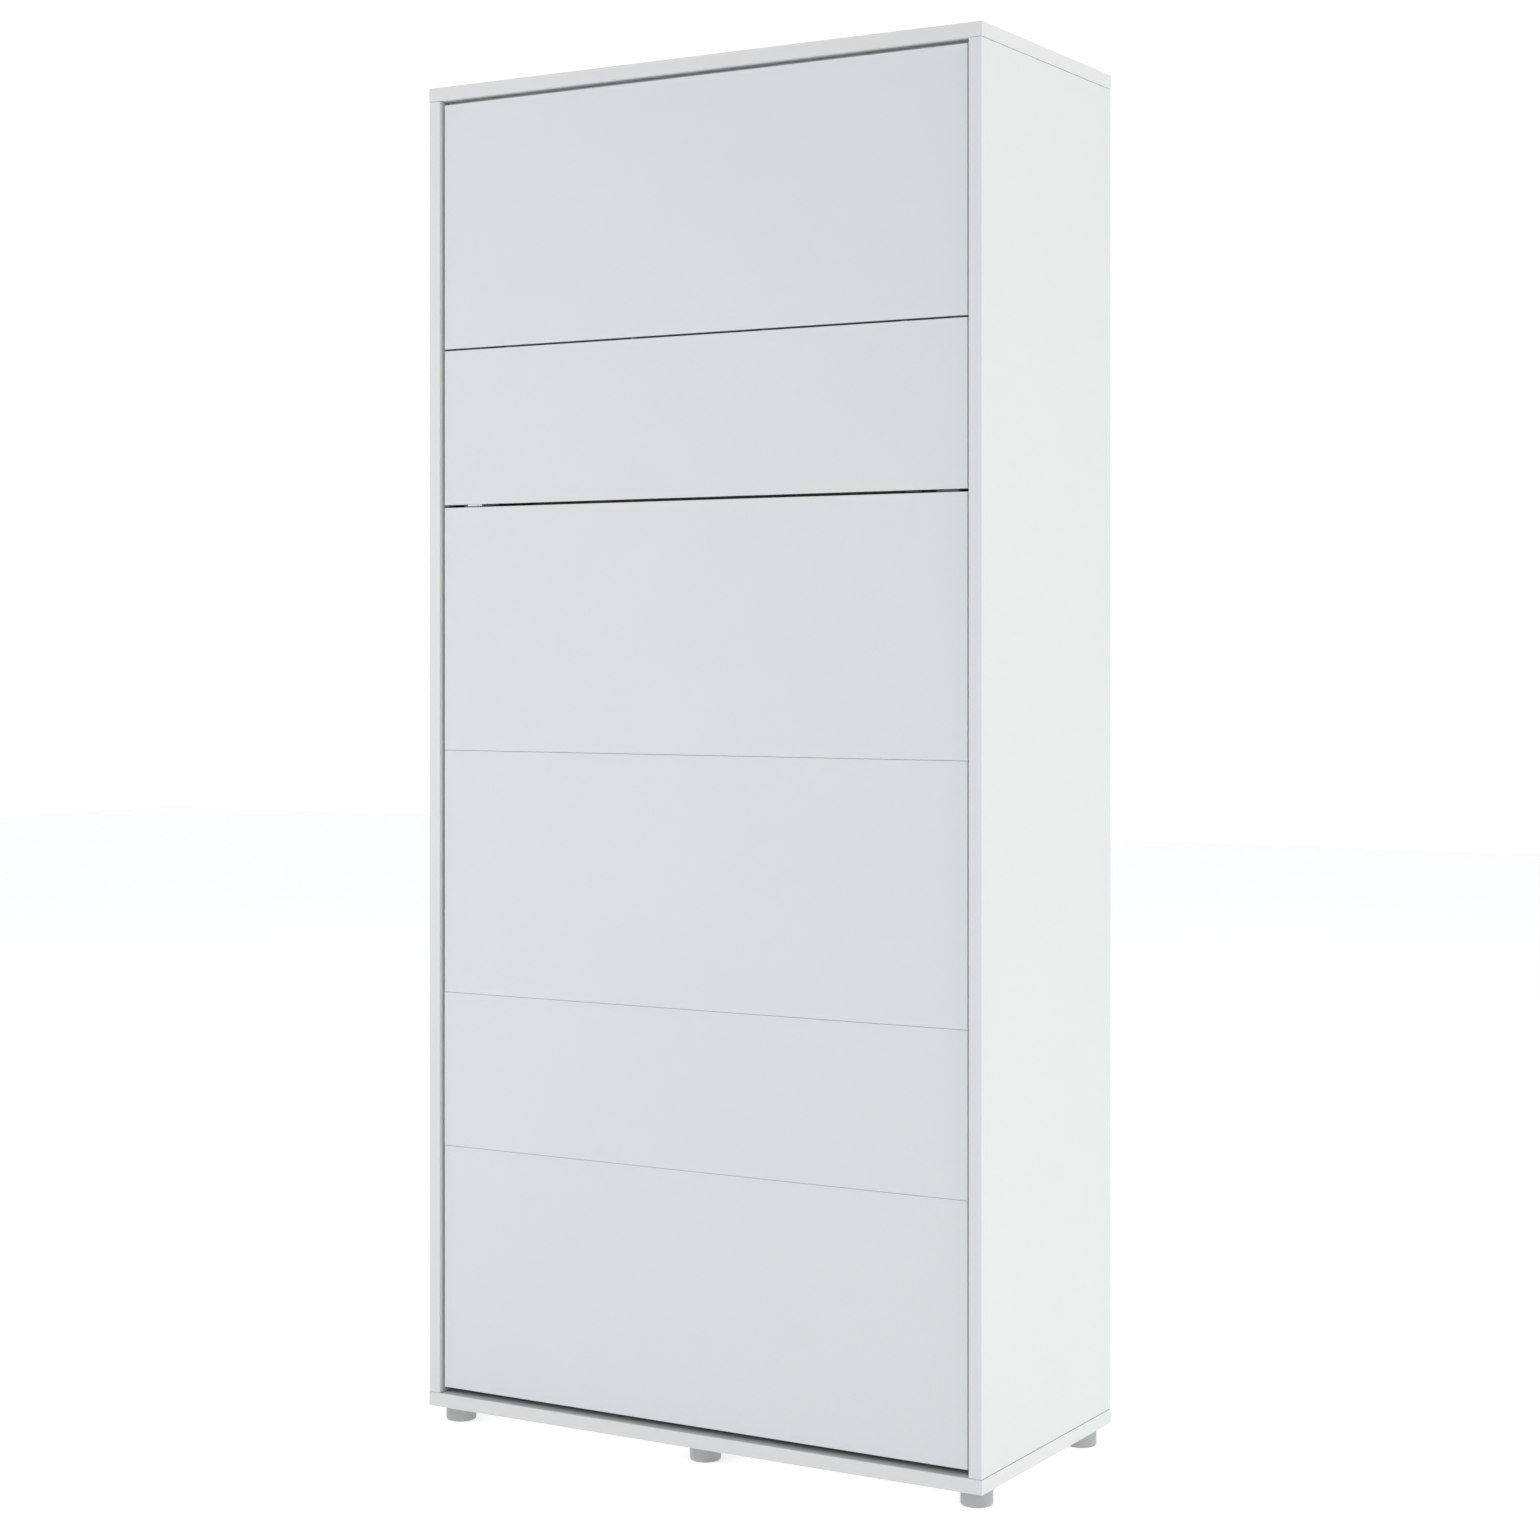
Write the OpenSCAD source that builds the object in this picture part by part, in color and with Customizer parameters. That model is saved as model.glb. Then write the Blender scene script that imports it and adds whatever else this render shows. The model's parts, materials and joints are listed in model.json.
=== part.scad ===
// Vertical wall bed: a tall laminated cabinet whose whole panelled front is the underside
// of a fold-down single bed. The second panel from the top folds out as the bed's leg.
// Front is -Y, up is +Z, and the origin is on the floor under the middle of the cabinet.

/* [Cabinet] */
// Overall width, over the top and bottom boards
cab_w = 1004; // [984:2:1064]
// Overall depth
cab_d = 464; // [440:2:520]
// Overall height, feet included
cab_h = 2178; // [2178:1:2240]
// Thickness of the top and bottom boards and the rear rails
board_t = 22; // [18:1:22]
// Thickness of the sides
side_t = 20.5; // [18:0.5:22]
// How far the sides stand in from the ends of the top and bottom boards
side_inset = 1; // [0:0.5:2]

/* [Feet] */
// Height of the feet
foot_h = 28; // [20:1:40]
// Diameter of a foot
foot_d = 49; // [40:1:60]
// Distance from the front edge to the middle of the front feet
foot_setback = 46; // [35:1:60]
// Distance from the end of the bottom board to the middle of an end foot
foot_inset = 31; // [28:1:60]

/* [Front panels] */
// How far the front panels stand behind the cabinet's front edges
front_recess = 6; // [4:1:12]
// Thickness of the front panels
front_t = 18; // [16:1:19]
// Gap between the front panels and each cabinet side
front_side_gap = 5; // [2.5:0.5:5]
// Gap between the bottom panel and the bottom board
front_bottom_gap = 10; // [7:0.5:11]
// Height of the bottom panel
bottom_panel_h = 394; // [384:1:394]
// Height of the narrow panel
narrow_panel_h = 249.5; // [239.5:0.5:249.5]
// Height of the lower middle panel
lower_middle_panel_h = 394; // [384:1:394]
// Height of the upper middle panel
upper_middle_panel_h = 394.5; // [384.5:0.5:394.5]
// Height of the leg panel; the pivot height follows it
leg_panel_h = 251; // [246:1:251]
// Height of the top panel
top_panel_h = 398; // [388:1:398]
// Seam between two fixed panels
seam = 0.3; // [0.2:0.1:0.6]
// Gap below the leg panel, which hides its glides
leg_gap_below = 4.5; // [3.5:0.5:5]
// Gap above the leg panel, which clears its hinges
leg_gap_above = 3; // [2.5:0.5:4]

/* [Bed] */
// Mattress width
mattress_w = 900; // [800:10:900]
// Mattress length
mattress_l = 2000; // [1900:10:2000]
// Mattress thickness
mattress_t = 160; // [120:5:160]
// Number of sprung slats
slat_count = 14; // [10:1:18]
// Wall of all the steel tubes
tube_wall = 2; // [1.5:0.5:3]

/* [Gas springs] */
// Distance from the pivot to each end of a gas spring
arm_r = 210; // [200:1:215]
// Angle at the pivot between a gas spring's two ends, bed closed
arm_angle = 165; // [162:1:168]

/* [Hidden] */
$fn = 48;

white = [0.93, 0.94, 0.94];
front_white = [0.86, 0.88, 0.89];
back_grey = [0.84, 0.84, 0.83];
steel = [0.72, 0.73, 0.75];
painted_tube = [0.62, 0.64, 0.66];
birch = [0.86, 0.72, 0.52];
plastic_grey = [0.62, 0.63, 0.64];
plastic_black = [0.12, 0.12, 0.13];
cloth = [0.93, 0.93, 0.90];
webbing = [0.25, 0.27, 0.30];

// Clearance of a fastener in its hole, and of a shaft in its bore
fit = 0.1;
run_fit = 0.06;

// Cabinet planes
x_end = cab_w / 2;
side_out = x_end - side_inset;
side_in = side_out - side_t;
y_front = -cab_d / 2;
y_back = cab_d / 2;
z_floor_top = foot_h + board_t;
z_top_under = cab_h - board_t;

// Rear of the cabinet
back_t = 3;
back_y = y_back - 19;
groove_d = 8;
groove_w = back_t + 0.2;
rear_rail_y = back_y - 2 - board_t;
upper_rear_rail_h = 150;
lower_rear_rail_h = 100;
batten_h = 10;
back_seam_z = (z_floor_top + z_top_under) / 2;
wall_hole_r = 4;
wall_hole_x = 400;
wall_hole_z = [z_top_under - 111, z_top_under - 39];

// Front panels, listed from the bottom; a row is [height, gap above it]
front_x = side_in - front_side_gap;
front_y = y_front + front_recess;
front_back = front_y + front_t;
front_rows = [
    [bottom_panel_h, seam], [narrow_panel_h, seam], [lower_middle_panel_h, seam],
    [upper_middle_panel_h, leg_gap_below], [leg_panel_h, leg_gap_above], [top_panel_h, 0]
];
front_z0 = z_floor_top + front_bottom_gap;
function panel_z(i) = i == 0 ? front_z0 : panel_z(i - 1) + front_rows[i - 1][0] + front_rows[i - 1][1];
function panel_top(i) = panel_z(i) + front_rows[i][0];
BOTTOM = 0;
NARROW = 1;
LOWER_MIDDLE = 2;
UPPER_MIDDLE = 3;
LEG = 4;
TOP = 5;
fixed_panels = [BOTTOM, NARROW, LOWER_MIDDLE, UPPER_MIDDLE, TOP];

// Bed frame
rail_s = 40;
spacer_t = 3;
rail_y = front_back + spacer_t;
rail_rear = rail_y + rail_s;
rail_x_out = 452;
rail_x_in = rail_x_out - rail_s;
rail_z0 = 75;
rail_z1 = 2140;
cross_d = 30;
cross_h = 20;
slat_w = 53;
slat_t = 8;
slat_y = rail_rear + 2;
slat_half = 432;
slat_z0 = 150;
slat_z1 = 2070;
slat_pitch = (slat_z1 - slat_z0) / (slat_count - 1);
holder_x = [422, 448];
holder_h = 62;
holder_d = 10.4;
mattress_y = slat_y + slat_t + 0.6;
mattress_z = 110;
mattress_corner = 40;

// Pivot: its height lets the folded-out leg stand on the floor under the level bed
leg_axis_back = 6;
leg_axis_y = front_y + leg_axis_back;
leg_axis_z = panel_top(LEG) - 8;
glide_h = 3;
pivot_back = 40;
pivot_y = front_y + pivot_back;
pivot_z = pivot_back - leg_axis_back + leg_axis_z - panel_z(LEG) + glide_h;

// Pins and plates
pin_r = 6;
bush_r = 9;
bush_flange_r = 11;
cab_plate_t = 3;
cab_plate_x = side_in - cab_plate_t;
cab_plate_half = 20;
cab_plate_top = 41;
cab_plate_flange = 40;
bed_plate_t = 4;
bed_plate_x = rail_x_out;
bed_plate_z = [110, 420];
bolt_z = [150, 215, 345, 390];
bolt_r = 3.4;
bolt_head_r = 6.5;
hinge_screw_y = pivot_y + 44;
hinge_screw_z = [330, 380, 430, 480];

// Gas springs: both ends stand at arm_r from the pivot
spring_x = 466;
spring_lean = (180 - arm_angle) / 2;
stud_c = [pivot_y, pivot_z + arm_r];
stud_b = [pivot_y + arm_r * sin(arm_angle), pivot_z + arm_r * cos(arm_angle)];
stud_r = 4;
stud_head_r = 5.5;
eye_r = 8;
eye_w = 10;
tube_r = 9;
tube_bore_r = 7.5;
tube_from = 20;
tube_to = 225;
gland_t = 6;
rod_r = 4;
rod_len = 212;
piston_r = 7.4;
piston_t = 10;

// Folding leg
leg_hinge_xs = [-360, -120, 120, 360];
leg_pin_r = 2;
knuckle_r = 4;
notch_half = 15;
bracket_half = 5.5;
knuckle_w = 6;
leaf_len = 46;
leaf_t = 2;
glide_x = 384;
glide_half = 14;
catch_x = -416.5;
catch_half = 14;
catch_t = 2.8;

// Fasteners
foot_xs = [-(x_end - foot_inset), 0, x_end - foot_inset];
foot_ys = [y_front + foot_setback, y_back - foot_setback];
cam_y = [-170, 150];
dowel_y = [-110, 100];
cam_r = 7.5;
cam_depth = 12.5;
cam_set = 34;
cam_bolt_r = 3;
dowel_r = 4;
dowel_half = 15;
strap_w = 40;
strap_t = 2;
strap_zs = [640, 1500];

// ---------- helpers ----------

module block(x, y, z) {
    translate([x[0], y[0], z[0]])
        cube([x[1] - x[0], y[1] - y[0], z[1] - z[0]]);
}

module both_sides() {
    children();
    mirror([1, 0, 0]) children();
}

module on_side(side) {
    mirror([side < 0 ? 1 : 0, 0, 0]) children();
}

// A round bar along X from x[0] to x[1]
module x_bar(x, y, z, r) {
    translate([x[0], y, z])
        rotate([0, 90, 0])
            cylinder(r = r, h = x[1] - x[0]);
}

// A round bar along Y from y[0] to y[1]
module y_bar(x, y, z, r) {
    translate([x, y[0], z])
        rotate([-90, 0, 0])
            cylinder(r = r, h = y[1] - y[0]);
}

// A countersunk hole or head along X, wide at x[1]
module x_cone(x, y, z, r0, r1) {
    translate([x[0], y, z])
        rotate([0, 90, 0])
            cylinder(r1 = r0, r2 = r1, h = x[1] - x[0]);
}

// ---------- cabinet ----------

// The holes and the groove that every joint of side and board needs
module end_joint_bores(grow) {
    for (y = cam_y, top = [0, 1]) {
        z = top ? z_top_under : z_floor_top;
        away = top ? -1 : 1;
        translate([side_in + side_t / 2, y, min(z - away * 12, z + away * cam_set)])
            cylinder(r = cam_bolt_r + grow, h = 12 + cam_set);
    }
    for (y = dowel_y, z = [z_floor_top, z_top_under])
        translate([side_in + side_t / 2, y, z - dowel_half + (grow > 0 ? -0.2 : 0)])
            cylinder(r = dowel_r + grow, h = 2 * dowel_half + (grow > 0 ? 0.4 : 0));
}

module rear_rail_dowels(grow) {
    for (z = [z_floor_top + 25, z_floor_top + 75, z_top_under - 35, z_top_under - 115])
        x_bar([side_in - 18 - grow, side_in + 10 + grow], rear_rail_y + board_t / 2, z, dowel_r + grow);
}

module cam_pockets(grow) {
    for (y = cam_y, z = [z_floor_top + cam_set, z_top_under - cam_set])
        x_bar([side_in - (grow > 0 ? 1 : 0), side_in + cam_depth + grow], y, z, cam_r + grow);
}

module side_panel() {
    difference() {
        block([side_in, side_out], [y_front, y_back], [z_floor_top, z_top_under]);
        block([side_in - 1, side_in + groove_d + 0.5], [back_y - fit, back_y + back_t + fit],
              [z_floor_top - 1, z_top_under + 1]);
        end_joint_bores(fit);
        cam_pockets(fit);
        rear_rail_dowels(fit);
    }
}

module left_side_panel() {
    color(white) on_side(-1) side_panel();
}

module right_side_panel() {
    color(white) side_panel();
}

module cap_board(z0, groove_z) {
    difference() {
        block([-x_end, x_end], [y_front, y_back], [z0, z0 + board_t]);
        block([-side_in - groove_d, side_in + groove_d], [back_y - fit, back_y + back_t + fit], groove_z);
        both_sides() end_joint_bores(fit);
    }
}

module top_board() {
    color(white) cap_board(z_top_under, [z_top_under - 1, z_top_under + groove_d + 0.5]);
}

module bottom_board() {
    color(white)
        difference() {
            cap_board(foot_h, [z_floor_top - groove_d - 0.5, z_floor_top + 1]);
            for (x = foot_xs, y = foot_ys)
                translate([x, y, foot_h - 1])
                    cylinder(r = 2 + fit, h = 16.2);
        }
}

module back_sheet(z0, z1) {
    block([-side_in - groove_d, side_in + groove_d], [back_y, back_y + back_t], [z0, z1]);
}

module wall_holes(y) {
    for (x = [-wall_hole_x, wall_hole_x], z = wall_hole_z)
        y_bar(x, y, z, wall_hole_r);
}

module upper_back_panel() {
    color(back_grey)
        difference() {
            back_sheet(back_seam_z + 1.2, z_top_under + groove_d);
            wall_holes([back_y - 1, back_y + back_t + 1]);
        }
}

module lower_back_panel() {
    color(back_grey) back_sheet(z_floor_top - groove_d, back_seam_z - 1.2);
}

// H-shaped plastic strip that joins the two back panels
module back_joining_strip() {
    color(white) {
        block([-side_in + 1, side_in - 1], [back_y - 0.2, back_y + back_t + 0.2],
              [back_seam_z - 1, back_seam_z + 1]);
        for (y = [back_y - 1.6, back_y + back_t + 0.2])
            block([-side_in + 1, side_in - 1], [y, y + 1.4], [back_seam_z - 9, back_seam_z + 9]);
    }
}

module rear_rail(z0, z1) {
    difference() {
        block([-side_in, side_in], [rear_rail_y, rear_rail_y + board_t], [z0, z1]);
        both_sides() rear_rail_dowels(fit);
    }
}

module upper_rear_rail() {
    color(white)
        difference() {
            rear_rail(z_top_under - upper_rear_rail_h, z_top_under);
            wall_holes([rear_rail_y - 1, rear_rail_y + board_t + 1]);
        }
}

module lower_rear_rail() {
    color(white) rear_rail(z_floor_top, z_floor_top + lower_rear_rail_h);
}

// Batten under the top board that closes the gap behind the top panel
module top_stop_batten() {
    color(white)
        block([-side_in, side_in], [front_back + 1, front_back + 21], [z_top_under - batten_h, z_top_under]);
}

// A foot with a chamfered rim and a well for its screw
module foot() {
    bevel = 2.5;
    r = foot_d / 2;
    rotate_extrude()
        polygon([
            [2 + fit, 16], [6, 16], [6, 0], [r - bevel, 0],
            [r, bevel], [r, foot_h], [2 + fit, foot_h]
        ]);
}

module feet() {
    color(plastic_grey)
        for (x = foot_xs, y = foot_ys)
            translate([x, y, 0]) foot();
}

module foot_screws() {
    color(steel)
        for (x = foot_xs, y = foot_ys)
            translate([x, y, 13]) {
                cylinder(r = 4.5, h = 3);
                translate([0, 0, 3]) cylinder(r = 2, h = 27);
            }
}

module dowels() {
    color(birch)
        both_sides() {
            for (y = dowel_y, z = [z_floor_top, z_top_under])
                translate([side_in + side_t / 2, y, z - dowel_half])
                    cylinder(r = dowel_r, h = 2 * dowel_half);
            rear_rail_dowels(0);
        }
}

// Round locks turned with a screwdriver from inside the cabinet
module cam_locks() {
    color(steel)
        both_sides()
            difference() {
                cam_pockets(0);
                end_joint_bores(fit);
                for (y = cam_y, z = [z_floor_top + cam_set, z_top_under - cam_set])
                    block([side_in - 1, side_in + 2], [y - 4, y + 4], [z - 0.7, z + 0.7]);
            }
}

module cam_bolts() {
    color(steel)
        both_sides()
            for (y = cam_y, top = [0, 1]) {
                z = top ? z_top_under - cam_set : z_floor_top - 12;
                translate([side_in + side_t / 2, y, z])
                    cylinder(r = cam_bolt_r, h = 12 + cam_set);
            }
}

// ---------- hinge sides ----------

module cabinet_hinge_plate() {
    difference() {
        union() {
            x_bar([cab_plate_x, side_in], pivot_y, pivot_z, cab_plate_half);
            block([cab_plate_x, side_in], [pivot_y - cab_plate_half, pivot_y + cab_plate_half],
                  [pivot_z, stud_c[1] + cab_plate_top]);
            block([cab_plate_x, side_in],
                  [pivot_y + cab_plate_half, pivot_y + cab_plate_half + cab_plate_flange],
                  [pivot_z + 30, stud_c[1] + cab_plate_top]);
        }
        for (z = hinge_screw_z) {
            x_bar([cab_plate_x - 1, side_in + 1], hinge_screw_y, z, 2 + fit);
            mirror([1, 0, 0])
                x_cone([-cab_plate_x - 2.5 - fit, -cab_plate_x + fit], hinge_screw_y, z, 2 + fit, 4.7 + 2 * fit);
        }
    }
}

module left_hinge_plate() {
    color(steel) on_side(-1) cabinet_hinge_plate();
}

module right_hinge_plate() {
    color(steel) cabinet_hinge_plate();
}

module hinge_plate_screws() {
    color(steel)
        both_sides()
            for (z = hinge_screw_z) {
                x_bar([cab_plate_x + 2, side_in], hinge_screw_y, z, 2);
                mirror([1, 0, 0])
                    x_cone([-cab_plate_x - 2.5, -cab_plate_x], hinge_screw_y, z, 2, 4.6);
            }
}

module pivot_pin() {
    x_bar([cab_plate_x - 27, cab_plate_x], pivot_y, pivot_z, pin_r);
    x_bar([cab_plate_x - 5, cab_plate_x], pivot_y, pivot_z, 10);
}

module left_pivot_pin() {
    color(steel) on_side(-1) pivot_pin();
}

module right_pivot_pin() {
    color(steel) pivot_pin();
}

// A headed stud that stands on a plate and carries a gas spring's eye
module stud(base_x, tip_x, at) {
    inward = tip_x < base_x;
    shoulder = inward ? [spring_x + eye_w / 2 + 0.5, base_x] : [base_x, spring_x - eye_w / 2 - 0.5];
    head = inward ? [tip_x, tip_x + 2] : [tip_x - 2, tip_x];
    x_bar(shoulder, at[0], at[1], 6);
    x_bar([min(base_x, tip_x), max(base_x, tip_x)], at[0], at[1], stud_r);
    x_bar(head, at[0], at[1], stud_head_r);
}

module cylinder_studs() {
    color(steel) both_sides() stud(cab_plate_x, spring_x - 8, stud_c);
}

// Rubber blocks under the top board that the side rails come to rest on
module stop_bumpers() {
    color(plastic_black)
        both_sides()
            block([rail_x_in + 6, rail_x_out - 6], [rail_rear + 0.5, rail_rear + 22], [rail_z1 - 16, z_top_under]);
}

// ---------- bed front ----------

module panel_screw_places(i) {
    for (z = [panel_z(i) + 45, panel_top(i) - 45])
        translate([(rail_x_in + rail_x_out) / 2, 0, z]) children();
}

module front_panel(i) {
    difference() {
        block([-front_x, front_x], [front_y, front_back], [panel_z(i), panel_top(i)]);
        both_sides()
            panel_screw_places(i)
                y_bar(0, [front_back - 13.2, front_back + 1], 0, 2 + fit);
    }
}

module top_front_panel() {
    color(front_white) front_panel(TOP);
}

module upper_middle_front_panel() {
    color(front_white) front_panel(UPPER_MIDDLE);
}

module lower_middle_front_panel() {
    color(front_white) front_panel(LOWER_MIDDLE);
}

module narrow_front_panel() {
    color(front_white) front_panel(NARROW);
}

module bottom_front_panel() {
    color(front_white) front_panel(BOTTOM);
}

module panel_spacers() {
    color(plastic_black)
        both_sides()
            for (i = fixed_panels)
                panel_screw_places(i)
                    difference() {
                        y_bar(0, [front_back, rail_y], 0, 11);
                        y_bar(0, [front_back - 1, rail_y + 1], 0, 2 + fit);
                    }
}

module panel_screws() {
    color(steel)
        both_sides()
            for (i = fixed_panels)
                panel_screw_places(i) {
                    y_bar(0, [front_back - 13, rail_y + tube_wall], 0, 2);
                    y_bar(0, [rail_y + tube_wall, rail_y + tube_wall + 3], 0, 4.5);
                }
}

// ---------- bed frame ----------

module bed_rail() {
    x_mid = (rail_x_in + rail_x_out) / 2;
    difference() {
        block([rail_x_in, rail_x_out], [rail_y, rail_rear], [rail_z0, rail_z1]);
        block([rail_x_in + tube_wall, rail_x_out - tube_wall],
              [rail_y + tube_wall, rail_rear - tube_wall], [rail_z0 - 1, rail_z1 + 1]);
        for (i = fixed_panels)
            panel_screw_places(i) {
                y_bar(0, [rail_y - 1, rail_y + tube_wall + 1], 0, 2 + fit);
                y_bar(0, [rail_rear - tube_wall - 1, rail_rear + 1], 0, 6);
            }
        x_bar([rail_x_out - tube_wall - 1, rail_x_out + 1], pivot_y, pivot_z, bush_r + 0.5);
        for (z = bolt_z)
            x_bar([rail_x_out - tube_wall - 1, rail_x_out + 1], rail_y + rail_s / 2, z, bolt_r + fit);
    }
}

module left_bed_rail() {
    color(painted_tube) on_side(-1) bed_rail();
}

module right_bed_rail() {
    color(painted_tube) bed_rail();
}

module cross_tube(z) {
    difference() {
        block([-rail_x_in, rail_x_in], [rail_y, rail_y + cross_d], [z - cross_h / 2, z + cross_h / 2]);
        block([-rail_x_in - 1, rail_x_in + 1], [rail_y + tube_wall, rail_y + cross_d - tube_wall],
              [z - cross_h / 2 + tube_wall, z + cross_h / 2 - tube_wall]);
    }
}

module foot_cross_tube() {
    color(painted_tube) cross_tube(rail_z0 + cross_h);
}

module lower_cross_tube() {
    color(painted_tube) cross_tube(panel_top(BOTTOM));
}

module middle_cross_tube() {
    color(painted_tube) cross_tube(panel_top(LOWER_MIDDLE));
}

module upper_cross_tube() {
    color(painted_tube) cross_tube(panel_top(UPPER_MIDDLE) - 20);
}

module leg_cross_tube() {
    color(painted_tube) cross_tube(panel_z(TOP) + 16);
}

module head_cross_tube() {
    color(painted_tube) cross_tube(rail_z1 - cross_h + 4);
}

module rail_end_caps() {
    color(plastic_black)
        both_sides()
            for (top = [0, 1]) {
                z = top ? [rail_z1, rail_z1 + 3] : [rail_z0 - 3, rail_z0];
                plug = top ? [rail_z1 - 12, rail_z1] : [rail_z0, rail_z0 + 12];
                block([rail_x_in + 1, rail_x_out - 1], [rail_y + 1, rail_rear - 1], z);
                block([rail_x_in + tube_wall + fit, rail_x_out - tube_wall - fit],
                      [rail_y + tube_wall + fit, rail_rear - tube_wall - fit], plug);
            }
}

module slats() {
    color(birch)
        for (i = [0 : slat_count - 1]) {
            z = slat_z0 + i * slat_pitch;
            block([-slat_half, slat_half], [slat_y, slat_y + slat_t], [z - slat_w / 2, z + slat_w / 2]);
        }
}

// Plastic caps that hold the slat ends on the side rails
module slat_holders() {
    color(plastic_black)
        both_sides()
            for (i = [0 : slat_count - 1]) {
                z = slat_z0 + i * slat_pitch;
                difference() {
                    block(holder_x, [rail_rear, rail_rear + holder_d], [z - holder_h / 2, z + holder_h / 2]);
                    block([holder_x[0] - 1, slat_half + fit], [slat_y - fit, slat_y + slat_t + fit],
                          [z - slat_w / 2 - fit, z + slat_w / 2 + fit]);
                }
            }
}

// Flat steel plate on the outside of a side rail, with an arm down to the gas spring
module pivot_plate() {
    difference() {
        translate([bed_plate_x, 0, 0])
            rotate([90, 0, 90])
                linear_extrude(bed_plate_t) {
                    translate([rail_y, bed_plate_z[0]])
                        square([rail_s, bed_plate_z[1] - bed_plate_z[0]]);
                    hull() {
                        translate(stud_b) circle(r = 13, $fn = 32);
                        translate([rail_y + 6, bed_plate_z[0]])
                            square([rail_s - 6, 60]);
                    }
                }
        x_bar([bed_plate_x - 1, bed_plate_x + bed_plate_t + 1], pivot_y, pivot_z, bush_r + run_fit);
        for (z = bolt_z)
            x_cone([bed_plate_x - fit, bed_plate_x + bed_plate_t + fit], rail_y + rail_s / 2, z,
                   bolt_r + fit, bolt_head_r + 2 * fit);
    }
}

module left_pivot_plate() {
    color(steel) on_side(-1) pivot_plate();
}

module right_pivot_plate() {
    color(steel) pivot_plate();
}

module pivot_plate_bolts() {
    color(steel)
        both_sides()
            for (z = bolt_z) {
                x_cone([bed_plate_x, bed_plate_x + bed_plate_t], rail_y + rail_s / 2, z, bolt_r, bolt_head_r);
                x_bar([bed_plate_x - 12, bed_plate_x], rail_y + rail_s / 2, z, bolt_r);
            }
}

module pivot_bushes() {
    color(plastic_black)
        both_sides()
            difference() {
                union() {
                    x_bar([bed_plate_x - 3, bed_plate_x + bed_plate_t], pivot_y, pivot_z, bush_r);
                    x_bar([bed_plate_x + bed_plate_t, bed_plate_x + bed_plate_t + 2], pivot_y, pivot_z,
                          bush_flange_r);
                }
                x_bar([bed_plate_x - 4, bed_plate_x + bed_plate_t + 3], pivot_y, pivot_z, pin_r + run_fit);
            }
}

module rod_studs() {
    color(steel) both_sides() stud(bed_plate_x + bed_plate_t, spring_x + 8, stud_b);
}

// ---------- bedding ----------

module mattress() {
    x = mattress_w / 2 - mattress_corner;
    z = mattress_l - 2 * mattress_corner;
    color(cloth)
        translate([0, mattress_y + mattress_t, mattress_z + mattress_corner])
            rotate([90, 0, 0])
                linear_extrude(mattress_t) {
                    translate([-mattress_w / 2, 0]) square([mattress_w, z]);
                    translate([-x, -mattress_corner]) square([2 * x, mattress_l]);
                    for (sx = [-x, x], sz = [0, z])
                        translate([sx, sz]) circle(r = mattress_corner);
                }
}

module strap(z) {
    x = mattress_w / 2 + 0.5;
    y = mattress_y + mattress_t + 0.5;
    block([-x - strap_t, x + strap_t], [y, y + strap_t], [z - strap_w / 2, z + strap_w / 2]);
    both_sides()
        block([x, x + strap_t], [rail_rear + 0.4, y + strap_t], [z - strap_w / 2, z + strap_w / 2]);
}

module upper_strap() {
    color(webbing) strap(strap_zs[1]);
}

module lower_strap() {
    color(webbing) strap(strap_zs[0]);
}

module strap_buckles() {
    y = mattress_y + mattress_t + 0.5 + strap_t;
    color(plastic_black)
        for (z = strap_zs)
            block([-32, 32], [y + 0.3, y + 7], [z - strap_w / 2 - 4, z + strap_w / 2 + 4]);
}

// Flat steel tongues that keep the mattress from sliding off either end
module mattress_stops() {
    foot_z = rail_z0 + cross_h * 1.5;
    head_z = rail_z1 - cross_h * 1.5 + 4;
    color(painted_tube)
        both_sides() {
            block([260, 340], [rail_y + 3, rail_y + 105], [foot_z, foot_z + 2]);
            block([260, 340], [rail_y + 3, rail_y + 105], [head_z - 2, head_z]);
        }
}

// ---------- folding leg ----------

// Fixed knuckle on the bed frame, in the gap behind the panels
module leg_hinge_brackets() {
    z_top = panel_z(TOP) + 16 + cross_h / 2;
    color(steel)
        for (x = leg_hinge_xs)
            difference() {
                union() {
                    block([x - bracket_half, x + bracket_half], [front_back + 0.3, rail_y], [leg_axis_z - 4, z_top]);
                    block([x - bracket_half, x + bracket_half], [leg_axis_y, front_back + 1],
                          [leg_axis_z - 3, leg_axis_z + 3]);
                    x_bar([x - bracket_half, x + bracket_half], leg_axis_y, leg_axis_z, knuckle_r);
                }
                x_bar([x - bracket_half - 1, x + bracket_half + 1], leg_axis_y, leg_axis_z, leg_pin_r + run_fit);
            }
}

module leg_panel() {
    color(front_white)
        difference() {
            block([-front_x, front_x], [front_y, front_back], [panel_z(LEG), panel_top(LEG)]);
            for (x = leg_hinge_xs) {
                block([x - notch_half, x + notch_half], [leg_axis_y - 4.5, front_back + 1],
                      [leg_axis_z - 6, panel_top(LEG) + 1]);
                block([x - notch_half, x + notch_half], [front_back - leaf_t, front_back + 1],
                      [leg_axis_z - leaf_len, leg_axis_z]);
            }
        }
}

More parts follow.
